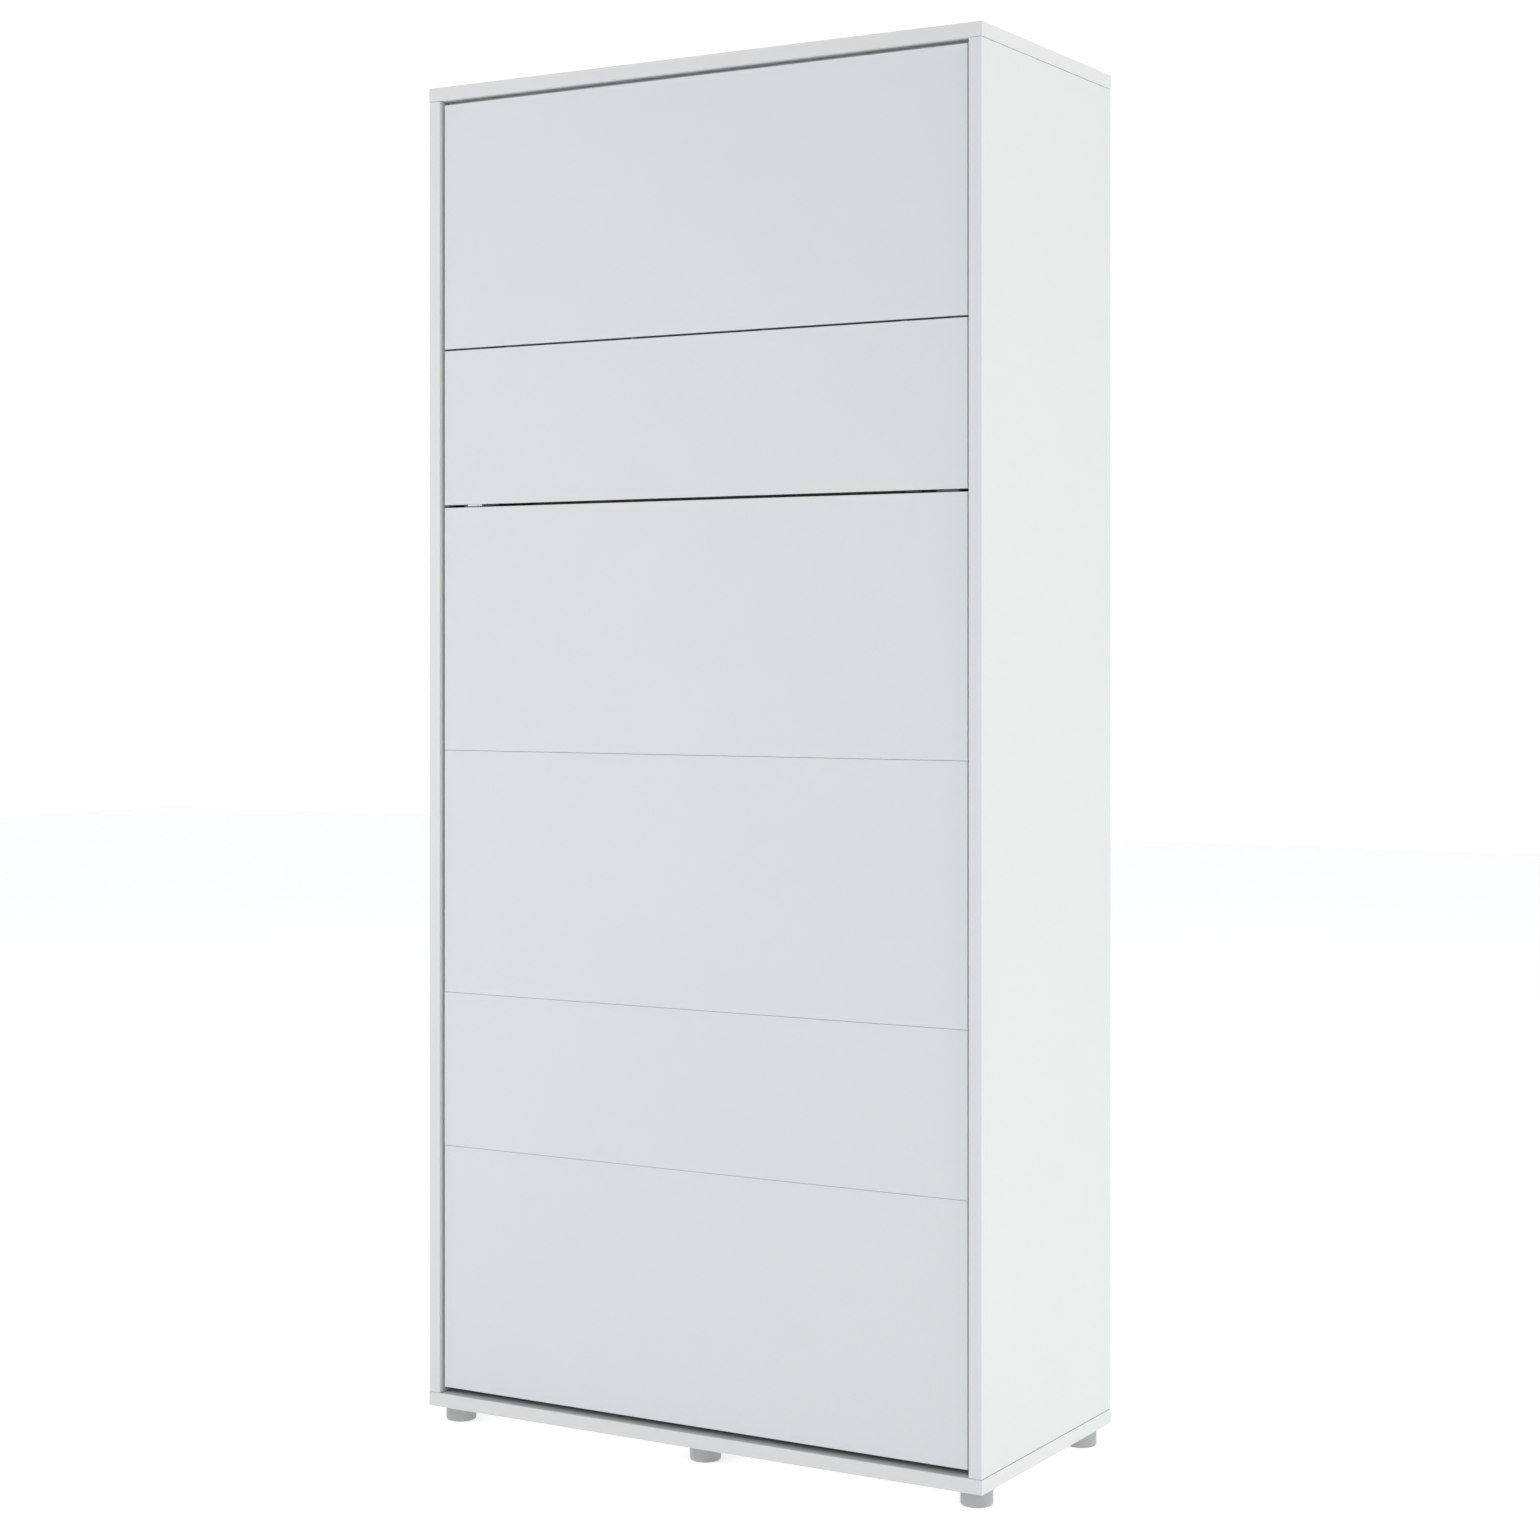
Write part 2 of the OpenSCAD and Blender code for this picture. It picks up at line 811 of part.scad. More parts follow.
// Moving leaf: a plate let into the leg's inner face, with an ear each side of the bracket
module leg_hinge_leaves() {
    ear = [bracket_half + 0.5, bracket_half + 0.5 + knuckle_w];
    color(steel)
        for (x = leg_hinge_xs)
            translate([x, 0, 0])
                difference() {
                    union() {
                        block([-notch_half + 0.5, notch_half - 0.5], [front_back - leaf_t + fit, front_back - fit],
                              [leg_axis_z - leaf_len + fit, leg_axis_z - 6.5]);
                        both_sides() {
                            x_bar(ear, leg_axis_y, leg_axis_z, knuckle_r);
                            block(ear, [leg_axis_y, front_back - fit], [leg_axis_z - 4, leg_axis_z - 0.5]);
                            block(ear, [front_back - leaf_t + fit, front_back - fit],
                                  [leg_axis_z - 8, leg_axis_z - 0.5]);
                        }
                    }
                    x_bar([-notch_half, notch_half], leg_axis_y, leg_axis_z, leg_pin_r + 0.02);
                }
}

module leg_hinge_pins() {
    color(steel)
        for (x = leg_hinge_xs)
            x_bar([x - bracket_half - knuckle_w, x + bracket_half + knuckle_w], leg_axis_y, leg_axis_z, leg_pin_r);
}

module leg_glides() {
    color(plastic_black)
        both_sides()
            block([glide_x - glide_half, glide_x + glide_half], [front_y + 4.5, front_back - 2],
                  [panel_z(LEG) - glide_h, panel_z(LEG)]);
}

// Keeper plate of a magnetic catch, near the left end of the leg panel's lower edge
module leg_catch_plate() {
    color(white)
        block([catch_x - catch_half, catch_x + catch_half], [front_y + 2.5, front_back - 3],
              [panel_z(LEG) - catch_t, panel_z(LEG)]);
}

// ---------- gas springs ----------

// Places a spring half along the line between the two studs; "up" points from the lower stud
module along_spring(at, up) {
    translate([spring_x, at[0], at[1]])
        rotate([spring_lean + (up ? 0 : 180), 0, 0])
            children();
}

module eye() {
    difference() {
        union() {
            x_bar([-eye_w / 2, eye_w / 2], 0, 0, eye_r);
            translate([0, 0, 5]) cylinder(r = 4.5, h = tube_from - 4);
        }
        x_bar([-eye_w, eye_w], 0, 0, stud_r + run_fit);
    }
}

module gas_cylinder() {
    along_spring(stud_c, false) {
        eye();
        rotate_extrude()
            polygon([
                [0, tube_from], [tube_r, tube_from], [tube_r, tube_to], [rod_r + fit, tube_to],
                [rod_r + fit, tube_to - gland_t], [tube_bore_r, tube_to - gland_t],
                [tube_bore_r, tube_from + 4], [0, tube_from + 4]
            ]);
    }
}

module gas_rod() {
    along_spring(stud_b, true) {
        eye();
        translate([0, 0, tube_from]) cylinder(r = rod_r, h = rod_len - tube_from);
        translate([0, 0, rod_len - piston_t]) cylinder(r = piston_r, h = piston_t);
    }
}

module left_gas_cylinder() {
    color(plastic_black) on_side(-1) gas_cylinder();
}

module right_gas_cylinder() {
    color(plastic_black) gas_cylinder();
}

module left_gas_rod() {
    color(steel) on_side(-1) gas_rod();
}

module right_gas_rod() {
    color(steel) gas_rod();
}

left_side_panel();
right_side_panel();
top_board();
bottom_board();
upper_back_panel();
lower_back_panel();
back_joining_strip();
upper_rear_rail();
lower_rear_rail();
top_stop_batten();
feet();
foot_screws();
dowels();
cam_locks();
cam_bolts();
left_hinge_plate();
right_hinge_plate();
hinge_plate_screws();
left_pivot_pin();
right_pivot_pin();
cylinder_studs();
stop_bumpers();
top_front_panel();
upper_middle_front_panel();
lower_middle_front_panel();
narrow_front_panel();
bottom_front_panel();
left_bed_rail();
right_bed_rail();
foot_cross_tube();
lower_cross_tube();
middle_cross_tube();
upper_cross_tube();
leg_cross_tube();
head_cross_tube();
rail_end_caps();
slats();
slat_holders();
left_pivot_plate();
right_pivot_plate();
pivot_plate_bolts();
pivot_bushes();
rod_studs();
panel_spacers();
panel_screws();
mattress();
upper_strap();
lower_strap();
strap_buckles();
mattress_stops();
leg_hinge_brackets();
leg_panel();
leg_glides();
leg_catch_plate();
leg_hinge_leaves();
leg_hinge_pins();
left_gas_cylinder();
right_gas_cylinder();
left_gas_rod();
right_gas_rod();
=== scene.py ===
"""Vertical wall bed: the visual model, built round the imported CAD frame."""
import json
import math

import bmesh
import bpy
from mathutils import Matrix, Vector


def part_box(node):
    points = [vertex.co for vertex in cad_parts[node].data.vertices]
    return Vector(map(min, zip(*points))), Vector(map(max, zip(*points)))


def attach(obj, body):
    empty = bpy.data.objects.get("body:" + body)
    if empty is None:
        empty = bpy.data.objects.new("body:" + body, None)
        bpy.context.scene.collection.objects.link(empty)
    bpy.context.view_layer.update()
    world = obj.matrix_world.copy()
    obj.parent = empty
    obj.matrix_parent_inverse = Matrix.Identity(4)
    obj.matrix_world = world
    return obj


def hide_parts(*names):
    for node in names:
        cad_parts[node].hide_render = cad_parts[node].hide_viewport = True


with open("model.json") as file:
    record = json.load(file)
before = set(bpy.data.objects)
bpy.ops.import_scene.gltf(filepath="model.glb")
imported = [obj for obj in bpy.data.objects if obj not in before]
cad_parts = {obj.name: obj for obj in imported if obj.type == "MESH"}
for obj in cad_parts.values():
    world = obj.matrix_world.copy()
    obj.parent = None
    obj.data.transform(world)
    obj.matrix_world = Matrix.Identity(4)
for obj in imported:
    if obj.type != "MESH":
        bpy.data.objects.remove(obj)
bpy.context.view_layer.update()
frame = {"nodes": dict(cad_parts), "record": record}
NODES = frame["nodes"]
RECORD = frame["record"]
BODY_OF = {n: body for body, names in RECORD["behaviour"]["bodies"].items() for n in names}
SLOT_OF = {part["node"]: part["material_slot"] for part in RECORD["subparts"]}
JOINT_AT = {joint["name"]: Vector(joint["pos_m"]) for joint in RECORD["behaviour"]["joints"]}

MM = 0.001
TURN = 2.0 * math.pi


# ---------------------------------------------------------------- shader building

class Shader:
    """A Principled material whose colour, roughness and bump come from procedural textures."""

    def __init__(self, name):
        self.material = bpy.data.materials.new(name)
        self.material.use_nodes = True
        self.tree = self.material.node_tree
        self.bsdf = self.tree.nodes["Principled BSDF"]
        self.here = self.node("ShaderNodeTexCoord").outputs["Object"]

    def node(self, kind, **settings):
        made = self.tree.nodes.new(kind)
        for key, value in settings.items():
            setattr(made, key, value)
        return made

    def plug(self, value, socket):
        """Links an output to a socket, or sets the socket to a plain number or colour."""
        if hasattr(value, "links"):
            self.tree.links.new(value, socket)
        else:
            socket.default_value = value

    def constants(self, **values):
        """Numbers and colours that are the same all over, set on the shader's own sockets."""
        names = {"metallic": "Metallic", "roughness": "Roughness", "coat": "Coat Weight",
                 "coat_roughness": "Coat Roughness", "sheen": "Sheen Weight",
                 "sheen_roughness": "Sheen Roughness", "specular": "Specular IOR Level",
                 "anisotropic": "Anisotropic"}
        for key, value in values.items():
            self.bsdf.inputs[names[key]].default_value = value

    def stretched(self, scale):
        mapping = self.node("ShaderNodeMapping")
        self.plug(self.here, mapping.inputs["Vector"])
        mapping.inputs["Scale"].default_value = scale
        return mapping.outputs["Vector"]

    def noise(self, scale, detail=2.0, rough=0.5, where=None, distortion=0.0):
        made = self.node("ShaderNodeTexNoise")
        self.plug(where or self.here, made.inputs["Vector"])
        made.inputs["Scale"].default_value = scale
        made.inputs["Detail"].default_value = detail
        made.inputs["Roughness"].default_value = rough
        made.inputs["Distortion"].default_value = distortion
        return made.outputs["Fac"]

    def cells(self, scale):
        made = self.node("ShaderNodeTexVoronoi")
        self.plug(self.here, made.inputs["Vector"])
        made.inputs["Scale"].default_value = scale
        return made.outputs["Distance"]

    def wave(self, scale, direction, distortion=0.0, detail=0.0):
        made = self.node("ShaderNodeTexWave", bands_direction=direction)
        self.plug(self.here, made.inputs["Vector"])
        made.inputs["Scale"].default_value = scale
        made.inputs["Distortion"].default_value = distortion
        made.inputs["Detail"].default_value = detail
        return made.outputs["Fac"]

    def math(self, operation, a, b=0.0):
        made = self.node("ShaderNodeMath", operation=operation)
        self.plug(a, made.inputs[0])
        self.plug(b, made.inputs[1])
        return made.outputs[0]

    def spread(self, value, low, high, to_low=0.0, to_high=1.0):
        made = self.node("ShaderNodeMapRange")
        self.plug(value, made.inputs["Value"])
        sockets = ("From Min", "From Max", "To Min", "To Max")
        for socket, number in zip(sockets, (low, high, to_low, to_high)):
            made.inputs[socket].default_value = number
        return made.outputs["Result"]

    def blend_colours(self, factor, a, b):
        made = self.node("ShaderNodeMix", data_type="RGBA")
        self.plug(factor, made.inputs["Factor"])
        for socket, colour in ((made.inputs[6], a), (made.inputs[7], b)):
            self.plug(colour if hasattr(colour, "links") else (*colour, 1.0), socket)
        return made.outputs[2]

    def colour(self, value):
        self.plug(value, self.bsdf.inputs["Base Color"])

    def roughness(self, value):
        self.plug(value, self.bsdf.inputs["Roughness"])

    def bump(self, height, depth, strength):
        """Relief from a height between 0 and 1, depth metres deep."""
        made = self.node("ShaderNodeBump")
        self.plug(height, made.inputs["Height"])
        made.inputs["Distance"].default_value = depth
        made.inputs["Strength"].default_value = strength
        self.plug(made.outputs["Normal"], self.bsdf.inputs["Normal"])


def tinted(colour, factor):
    return tuple(min(1.0, c * factor) for c in colour)


# ---------------------------------------------------------------- materials

def laminate(name, colour, rough, offset):
    """Melamine-faced board: a pearl grain, faint clouds in the colour and handling marks in the gloss."""
    s = Shader(name)
    clouds = s.noise(1.7 + offset, 3.0)
    fibre = s.noise(260.0, 4.0, 0.6)
    base = s.blend_colours(s.spread(clouds, 0.35, 0.65), tinted(colour, 0.985), colour)
    s.colour(s.blend_colours(s.spread(fibre, 0.3, 0.7), tinted(colour, 0.98), base))
    marks = s.noise(9.0, 5.0, 0.65)
    s.roughness(s.spread(marks, 0.3, 0.7, rough - 0.05, rough + 0.06))
    pearl = s.math("ADD", s.noise(1500.0, 2.0), s.math("MULTIPLY", s.cells(700.0), 0.6))
    s.bump(pearl, 0.05 * MM, 0.35)
    s.constants(specular=0.4)
    return s.material


def edge_band(name, colour):
    """ABS edging: smoother than the board face, with the faint chatter of the trimming cutter."""
    s = Shader(name)
    s.colour(s.blend_colours(s.noise(40.0, 3.0), tinted(colour, 0.985), colour))
    s.roughness(s.spread(s.noise(120.0, 3.0), 0.3, 0.7, 0.34, 0.44))
    s.bump(s.noise(600.0, 2.0), 0.03 * MM, 0.3)
    s.constants(specular=0.45)
    return s.material


def hardboard(colour, raw):
    """Painted smooth inside the cabinet, open pressed fibre on the face towards the wall."""
    s = Shader("back board")
    split = s.node("ShaderNodeSeparateXYZ")
    s.plug(s.node("ShaderNodeTexCoord").outputs["Normal"], split.inputs[0])
    rear = s.spread(split.outputs["Y"], 0.2, 0.6)
    fibres = s.noise(90.0, 6.0, 0.7, where=s.stretched((1.0, 1.0, 0.35)))
    rough_face = s.blend_colours(s.spread(fibres, 0.3, 0.7), tinted(raw, 0.86), raw)
    flecks = s.spread(s.cells(240.0), 0.05, 0.3)
    rough_face = s.blend_colours(flecks, tinted(raw, 0.74), rough_face)
    s.colour(s.blend_colours(rear, colour, rough_face))
    s.roughness(s.spread(fibres, 0.3, 0.7, 0.55, 0.72))
    s.bump(s.math("MULTIPLY", fibres, s.spread(rear, 0.0, 1.0, 0.15, 1.0)), 0.12 * MM, 0.6)
    return s.material


def moulded(name, colour, rough, grain=900.0, depth=0.05):
    """Injection-moulded plastic with a fine spark-eroded grain and slightly uneven gloss."""
    s = Shader(name)
    patches = s.noise(24.0, 4.0)
    s.colour(s.blend_colours(s.spread(patches, 0.3, 0.7), tinted(colour, 0.92), tinted(colour, 1.06)))
    s.roughness(s.spread(s.noise(60.0, 4.0), 0.3, 0.7, rough - 0.06, rough + 0.08))
    s.bump(s.math("ADD", s.noise(grain, 3.0), s.cells(grain * 0.7)), depth * MM, 0.5)
    return s.material


def zinc(name, colour):
    """Zinc-plated pressed steel: rolled streaks, cloudy passivation and fine scratches."""
    s = Shader(name)
    clouds = s.noise(35.0, 5.0, 0.6)
    streaks = s.noise(14.0, 4.0, where=s.stretched((4.0, 4.0, 60.0)))
    tone = s.blend_colours(s.spread(clouds, 0.3, 0.7), tinted(colour, 0.80), colour)
    s.colour(s.blend_colours(s.spread(streaks, 0.35, 0.65), tone, tinted(colour, 1.12)))
    s.roughness(s.spread(s.math("ADD", clouds, streaks), 0.7, 1.3, 0.26, 0.46))
    s.bump(s.noise(420.0, 4.0, where=s.stretched((1.0, 1.0, 0.1))), 0.03 * MM, 0.5)
    s.constants(metallic=1.0)
    return s.material


def powder_coat(name, colour):
    """Powder-coated tube with its orange peel and slightly worn, shinier patches."""
    s = Shader(name)
    s.colour(s.blend_colours(s.spread(s.noise(12.0, 4.0), 0.3, 0.7), tinted(colour, 0.94), colour))
    s.roughness(s.spread(s.noise(30.0, 4.0), 0.3, 0.7, 0.34, 0.5))
    peel = s.math("ADD", s.noise(330.0, 2.0), s.math("MULTIPLY", s.noise(900.0, 1.0), 0.3))
    s.bump(peel, 0.12 * MM, 0.5)
    return s.material


def enamel(name, colour):
    """Glossy sprayed enamel with a slight orange peel."""
    s = Shader(name)
    s.colour(s.blend_colours(s.noise(50.0, 3.0), colour, tinted(colour, 1.5)))
    s.roughness(s.spread(s.noise(45.0, 4.0), 0.3, 0.7, 0.16, 0.28))
    s.bump(s.noise(160.0, 2.0), 0.04 * MM, 0.4)
    s.constants(coat=0.4, coat_roughness=0.12)
    return s.material


def chrome(name, colour):
    """Hard-chromed rod: ground round and round, with a trace of oil."""
    s = Shader(name)
    rings = s.noise(900.0, 2.0, where=s.stretched((0.05, 0.2, 1.0)))
    s.colour(s.blend_colours(s.noise(20.0, 3.0), tinted(colour, 0.92), colour))
    s.roughness(s.spread(s.math("ADD", rings, s.noise(30.0)), 0.7, 1.3, 0.06, 0.16))
    s.constants(metallic=1.0, anisotropic=0.3)
    return s.material


PLY_BANDS = 1.0 / 0.0092


def beech_ply(name, colour):
    """Laminated slat: grain along its length, and the glue lines of its plies on the edges."""
    s = Shader(name)
    long_grain = s.stretched((3.0, 46.0, 46.0))
    grain = s.noise(2.6, 6.0, 0.62, where=long_grain, distortion=0.6)
    pores = s.noise(9.0, 3.0, 0.7, where=s.stretched((16.0, 220.0, 220.0)))
    tone = s.blend_colours(s.spread(grain, 0.32, 0.68), tinted(colour, 0.80), tinted(colour, 1.10))
    tone = s.blend_colours(s.spread(pores, 0.56, 0.72), tone, tinted(colour, 0.66))
    plies = s.wave(PLY_BANDS, "Y", 0.4)
    glue_lines = s.math("MULTIPLY", s.spread(plies, 0.72, 0.95), 0.55)
    tone = s.blend_colours(glue_lines, tone, tinted(colour, 0.42))
    s.colour(tone)
    s.roughness(s.spread(grain, 0.3, 0.7, 0.36, 0.5))
    s.bump(pores, 0.05 * MM, 0.5)
    s.constants(specular=0.4)
    return s.material


def knit(name, colour):
    """Mattress ticking: a close jersey of small loops, with a soft nap."""
    s = Shader(name)
    rows = s.wave(160.0, "DIAGONAL", 1.4, detail=1.0)
    loops = s.cells(620.0)
    slubs = s.noise(34.0, 4.0, 0.6)
    tone = s.blend_colours(s.spread(slubs, 0.3, 0.7), tinted(colour, 0.93), colour)
    # Darker at the centre of each loop cell, where the bump dips: painted shade in the hollows of the knit.
    tone = s.blend_colours(s.spread(loops, 0.05, 0.5), tinted(colour, 0.84), tone)
    s.colour(tone)
    s.roughness(s.spread(loops, 0.0, 0.6, 0.74, 0.92))
    height = s.math("ADD", s.math("MULTIPLY", rows, 0.35), loops)
    s.bump(height, 0.35 * MM, 0.6)
    s.constants(sheen=0.25, sheen_roughness=0.45, specular=0.25)
    return s.material


def woven_tape(name, colour, scale, direction):
    """Flat woven tape or webbing: ribs banded in one direction and single picks across them."""
    s = Shader(name)
    ribs = s.wave(scale, direction, 0.6)
    picks = s.wave(scale * 1.6, "DIAGONAL", 1.2, detail=1.0)
    fuzz = s.noise(480.0, 4.0)
    height = s.math("ADD", s.math("MULTIPLY", ribs, picks), s.math("MULTIPLY", fuzz, 0.35))
    # The colour follows the relief: lighter on the raised ribs, darker in the hollows between them, a
    # painted highlight and painted shade, with the fibre fuzz adding random tone.
    tone = s.blend_colours(s.spread(height, 0.1, 1.0), tinted(colour, 0.62), tinted(colour, 1.25))
    s.colour(tone)
    s.roughness(s.spread(fuzz, 0.3, 0.7, 0.66, 0.82))
    s.bump(height, 0.3 * MM, 0.7)
    s.constants(sheen=0.2, sheen_roughness=0.4, specular=0.3)
    return s.material


# The front panels get a darker copy of the white laminate, and the carcass edge bands are darkened to the
# same tone: painted shade on the faces turned to the front, which get less light than the sides.
WHITE = (0.688, 0.694, 0.693)
FRONT_WITH_PAINTED_SHADE = (0.636, 0.652, 0.653)
MATERIALS = {
    "white_laminate": laminate("white laminate", WHITE, 0.52, 0.0),
    "front_laminate": laminate("front laminate, painted shade", FRONT_WITH_PAINTED_SHADE, 0.5, 0.3),
    "back_board": hardboard((0.72, 0.725, 0.72), (0.66, 0.63, 0.57)),
    "white_plastic": moulded("white plastic", (0.76, 0.765, 0.76), 0.42),
    "grey_plastic": moulded("grey plastic", (0.375, 0.38, 0.383), 0.42),
    "black_plastic": moulded("black plastic", (0.022, 0.022, 0.024), 0.46),
    "bumper_rubber": moulded("bumper rubber", (0.02, 0.02, 0.02), 0.78, 500.0, 0.12),
    "zinc_steel": zinc("zinc-plated steel", (0.60, 0.61, 0.63)),
    "painted_steel": powder_coat("powder-coated steel", (0.47, 0.49, 0.50)),
    "black_enamel": enamel("black enamel", (0.014, 0.014, 0.016)),
    "polished_rod": chrome("chromed rod", (0.78, 0.78, 0.80)),
    "birch": beech_ply("laminated birch", (0.70, 0.52, 0.33)),
    "mattress_cloth": knit("mattress ticking", (0.80, 0.79, 0.755)),
    "webbing": woven_tape("strap webbing", (0.075, 0.08, 0.095), 190.0, "Z"),
}
# Both bands are darker copies: the carcass band carries painted shade for the front edges, and the front
# panel band is a little darker still.
WHITE_BAND_WITH_PAINTED_SHADE = edge_band("white edge band, painted shade", tinted(WHITE, 0.925))
FRONT_BAND = edge_band("front edge band, painted shade", tinted(FRONT_WITH_PAINTED_SHADE, 0.955))
PIPING = woven_tape("binding tape", (0.42, 0.43, 0.45), 240.0, "X")
for node_name, slot in SLOT_OF.items():
    NODES[node_name].data.materials.clear()
    NODES[node_name].data.materials.append(MATERIALS[slot])


# ---------------------------------------------------------------- mesh helpers

def cleaned(node):
    """A copy of a CAD node's mesh with its corners joined and its flat faces whole."""
    bm = bmesh.new()
    bm.from_mesh(NODES[node].data)
    bmesh.ops.remove_doubles(bm, verts=bm.verts, dist=2e-6)
    bmesh.ops.dissolve_limit(bm, angle_limit=math.radians(0.6), verts=bm.verts, edges=bm.edges)
    return bm


def solids(node):
    """The lowest and highest corner of each separate solid of a node, in millimetres."""
    bm = cleaned(node)
    seen, boxes = set(), []
    for start in bm.verts:
        if start in seen:
            continue
        group, queue = [], [start]
        seen.add(start)
        while queue:
            v = queue.pop()
            group.append(v.co / MM)
            for e in v.link_edges:
                w = e.other_vert(v)
                if w not in seen:
                    seen.add(w)
                    queue.append(w)
        boxes.append(tuple(Vector([pick(c[i] for c in group) for i in range(3)]) for pick in (min, max)))
    bm.free()
    return sorted(boxes, key=lambda b: tuple(round(c, 2) for c in b[0]))


def round_edges(bm, width, segments, choose):
    """Rounds the edges that choose(edge) picks by width millimetres."""
    bm.normal_update()
    edges = [e for e in bm.edges if len(e.link_faces) == 2 and choose(e)]
    bmesh.ops.bevel(bm, geom=edges, offset=width * MM, offset_type="OFFSET", segments=segments,
                    profile=0.5, affect="EDGES", clamp_overlap=True, material=-1, loop_slide=True)


def sharp(edge):
    return edge.calc_face_angle(0.0) > math.radians(35.0)


def piece(name, bm, materials, slot, body, stands_for=(), smooth=50.0, subdivide=0):
    """Turns a mesh under construction into a named piece that rides on a body."""
    bmesh.ops.recalc_face_normals(bm, faces=bm.faces)
    mesh = bpy.data.meshes.new(name)
    bm.to_mesh(mesh)
    bm.free()
    mesh.shade_smooth()
    mesh.set_sharp_from_angle(angle=math.radians(smooth))
    for material in materials if isinstance(materials, (list, tuple)) else [materials]:
        mesh.materials.append(material)
    made = bpy.data.objects.new(name, mesh)
    bpy.context.scene.collection.objects.link(made)
    if subdivide:
        made.modifiers.new("subdivision", "SUBSURF").levels = subdivide
        made.modifiers["subdivision"].render_levels = subdivide
    else:
        flat = made.modifiers.new("flat faces", "WEIGHTED_NORMAL")
        flat.keep_sharp = True
        flat.weight = 100
    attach(made, body)
    if stands_for:
        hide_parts(*stands_for)
    return made


def stand_in(node, bm, materials=None, suffix="detail", **settings):
    """A piece that takes the place of one CAD node, with its slot and body."""
    slot = SLOT_OF[node]
    return piece(f"{node}_{suffix}", bm, materials or MATERIALS[slot], slot, BODY_OF[node], (node,),
                 **settings)


def at(x, y, z, direction="Z"):
    """Places a turned form, drawn in millimetres about local Z, at a point and in a direction."""
    turns = {"Z": Matrix(), "X": Matrix.Rotation(TURN / 4, 4, "Y"),
             "-X": Matrix.Rotation(-TURN / 4, 4, "Y"), "-Y": Matrix.Rotation(TURN / 4, 4, "X")}
    return Matrix.Translation(Vector((x, y, z)) * MM) @ turns[direction] @ Matrix.Scale(MM, 4)


def skin(bm, loops, closed_path=False):
    """Joins a row of vertex loops with quads, and caps the two ends unless the row is closed."""
    pairs = list(zip(loops, loops[1:]))
    if closed_path:
        pairs.append((loops[-1], loops[0]))
    for a, b in pairs:
        for i in range(len(a)):
            j = (i + 1) % len(a)
            bm.faces.new((a[i], a[j], b[j], b[i]))
    if not closed_path:
        bm.faces.new(loops[0])
        bm.faces.new(reversed(loops[-1]))


ANGLES = [TURN * i / 32 for i in range(32)]


def spin(bm, rings, place, closed=False, angles=None):
    """A turned form: each ring is (radius or outline, height); an outline gives a radius for an angle."""
    loops = []
    for radius, height in rings:
        loop = []
        for a in angles or ANGLES:
            r = radius(a) if callable(radius) else radius
            loop.append(bm.verts.new(place @ Vector((r * math.cos(a), r * math.sin(a), height))))
        loops.append(loop)
    skin(bm, loops, closed_path=closed)


def hexagon(across):
    """The outline of a hexagon socket, given half the distance across its flats."""
    return lambda a: across / math.cos((a % (TURN / 6)) - TURN / 12)


def cross(reach, half):
    """The outline of a cross recess with arms of the given reach and half width."""
    def radius(a):
        c, s = max(abs(math.cos(a)), 1e-6), max(abs(math.sin(a)), 1e-6)
        return max(min(reach / c, half / s), min(reach / s, half / c))
    return radius


def cross_angles(reach, half):
    """Angles that fall on every corner of a cross outline."""
    corner = math.atan2(half, reach)
    marks = [0.0, corner * 0.5, corner, (corner + TURN / 8) / 2, TURN / 8,
             TURN / 4 - (corner + TURN / 8) / 2, TURN / 4 - corner, TURN / 4 - corner * 0.5]
    return [q * TURN / 4 + m for q in range(4) for m in marks]


def thread_rings(radius, start, end, pitch):
    """Ridges of a screw thread drawn as rings, from start to end."""
    rings = []
    count = max(1, int(abs(end - start) / pitch))
    step = (end - start) / count
    for i in range(count):
        rings += [(radius * 0.78, start + i * step), (radius, start + (i + 0.5) * step)]
    return rings


# ---------------------------------------------------------------- boards and panels

# Banding thickness and the tolerance for "on the box" in metres; rounding and joint in millimetres
BAND = 1.0 * MM
FLUSH = 1e-6
ARRIS = 0.7
OPEN_JOINT = 0.6
X, Y, Z = 0, 1, 2


def along(axis, edge):
    """True for an edge that runs along an axis."""
    run = edge.verts[1].co - edge.verts[0].co
    return abs(run[axis]) > 0.999 * run.length


def on_box_edge(edge, low, high):
    """True for an edge that lies along one of the twelve edges of a box."""
    a, b = edge.verts[0].co, edge.verts[1].co
    flush = sum(any(abs(a[i] - limit[i]) < FLUSH and abs(b[i] - limit[i]) < FLUSH
                    for limit in (low, high)) for i in range(3))
    return flush >= 2


def banded_board(node, banded, face, band, slit=0.0):
    """A laminated board: banding on the named ends, rounded arrises, both ends drawn back by slit."""
    low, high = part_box(node)
    bm = cleaned(node)
    planes = []
    for axis, side in banded:
        normal, point = Vector((0.0, 0.0, 0.0)), Vector((0.0, 0.0, 0.0))
        normal[axis] = side
        point[axis] = (high if side > 0 else low)[axis] - side * BAND
        bmesh.ops.bisect_plane(bm, geom=bm.verts[:] + bm.edges[:] + bm.faces[:], dist=1e-7,
                               plane_co=point, plane_no=normal)
        planes.append((point, normal))
    for f in bm.faces:
        centre = f.calc_center_median()
        f.material_index = int(any((centre - point).dot(normal) > 0.0 for point, normal in planes))
    round_edges(bm, ARRIS, 3, lambda e: on_box_edge(e, low, high))
    rim = ARRIS * MM * 1.01
    for v in bm.verts:
        if v.co.z < low.z + rim:
            v.co.z += slit * MM
        elif v.co.z > high.z - rim:
            v.co.z -= slit * MM
    stand_in(node, bm, (face, band))


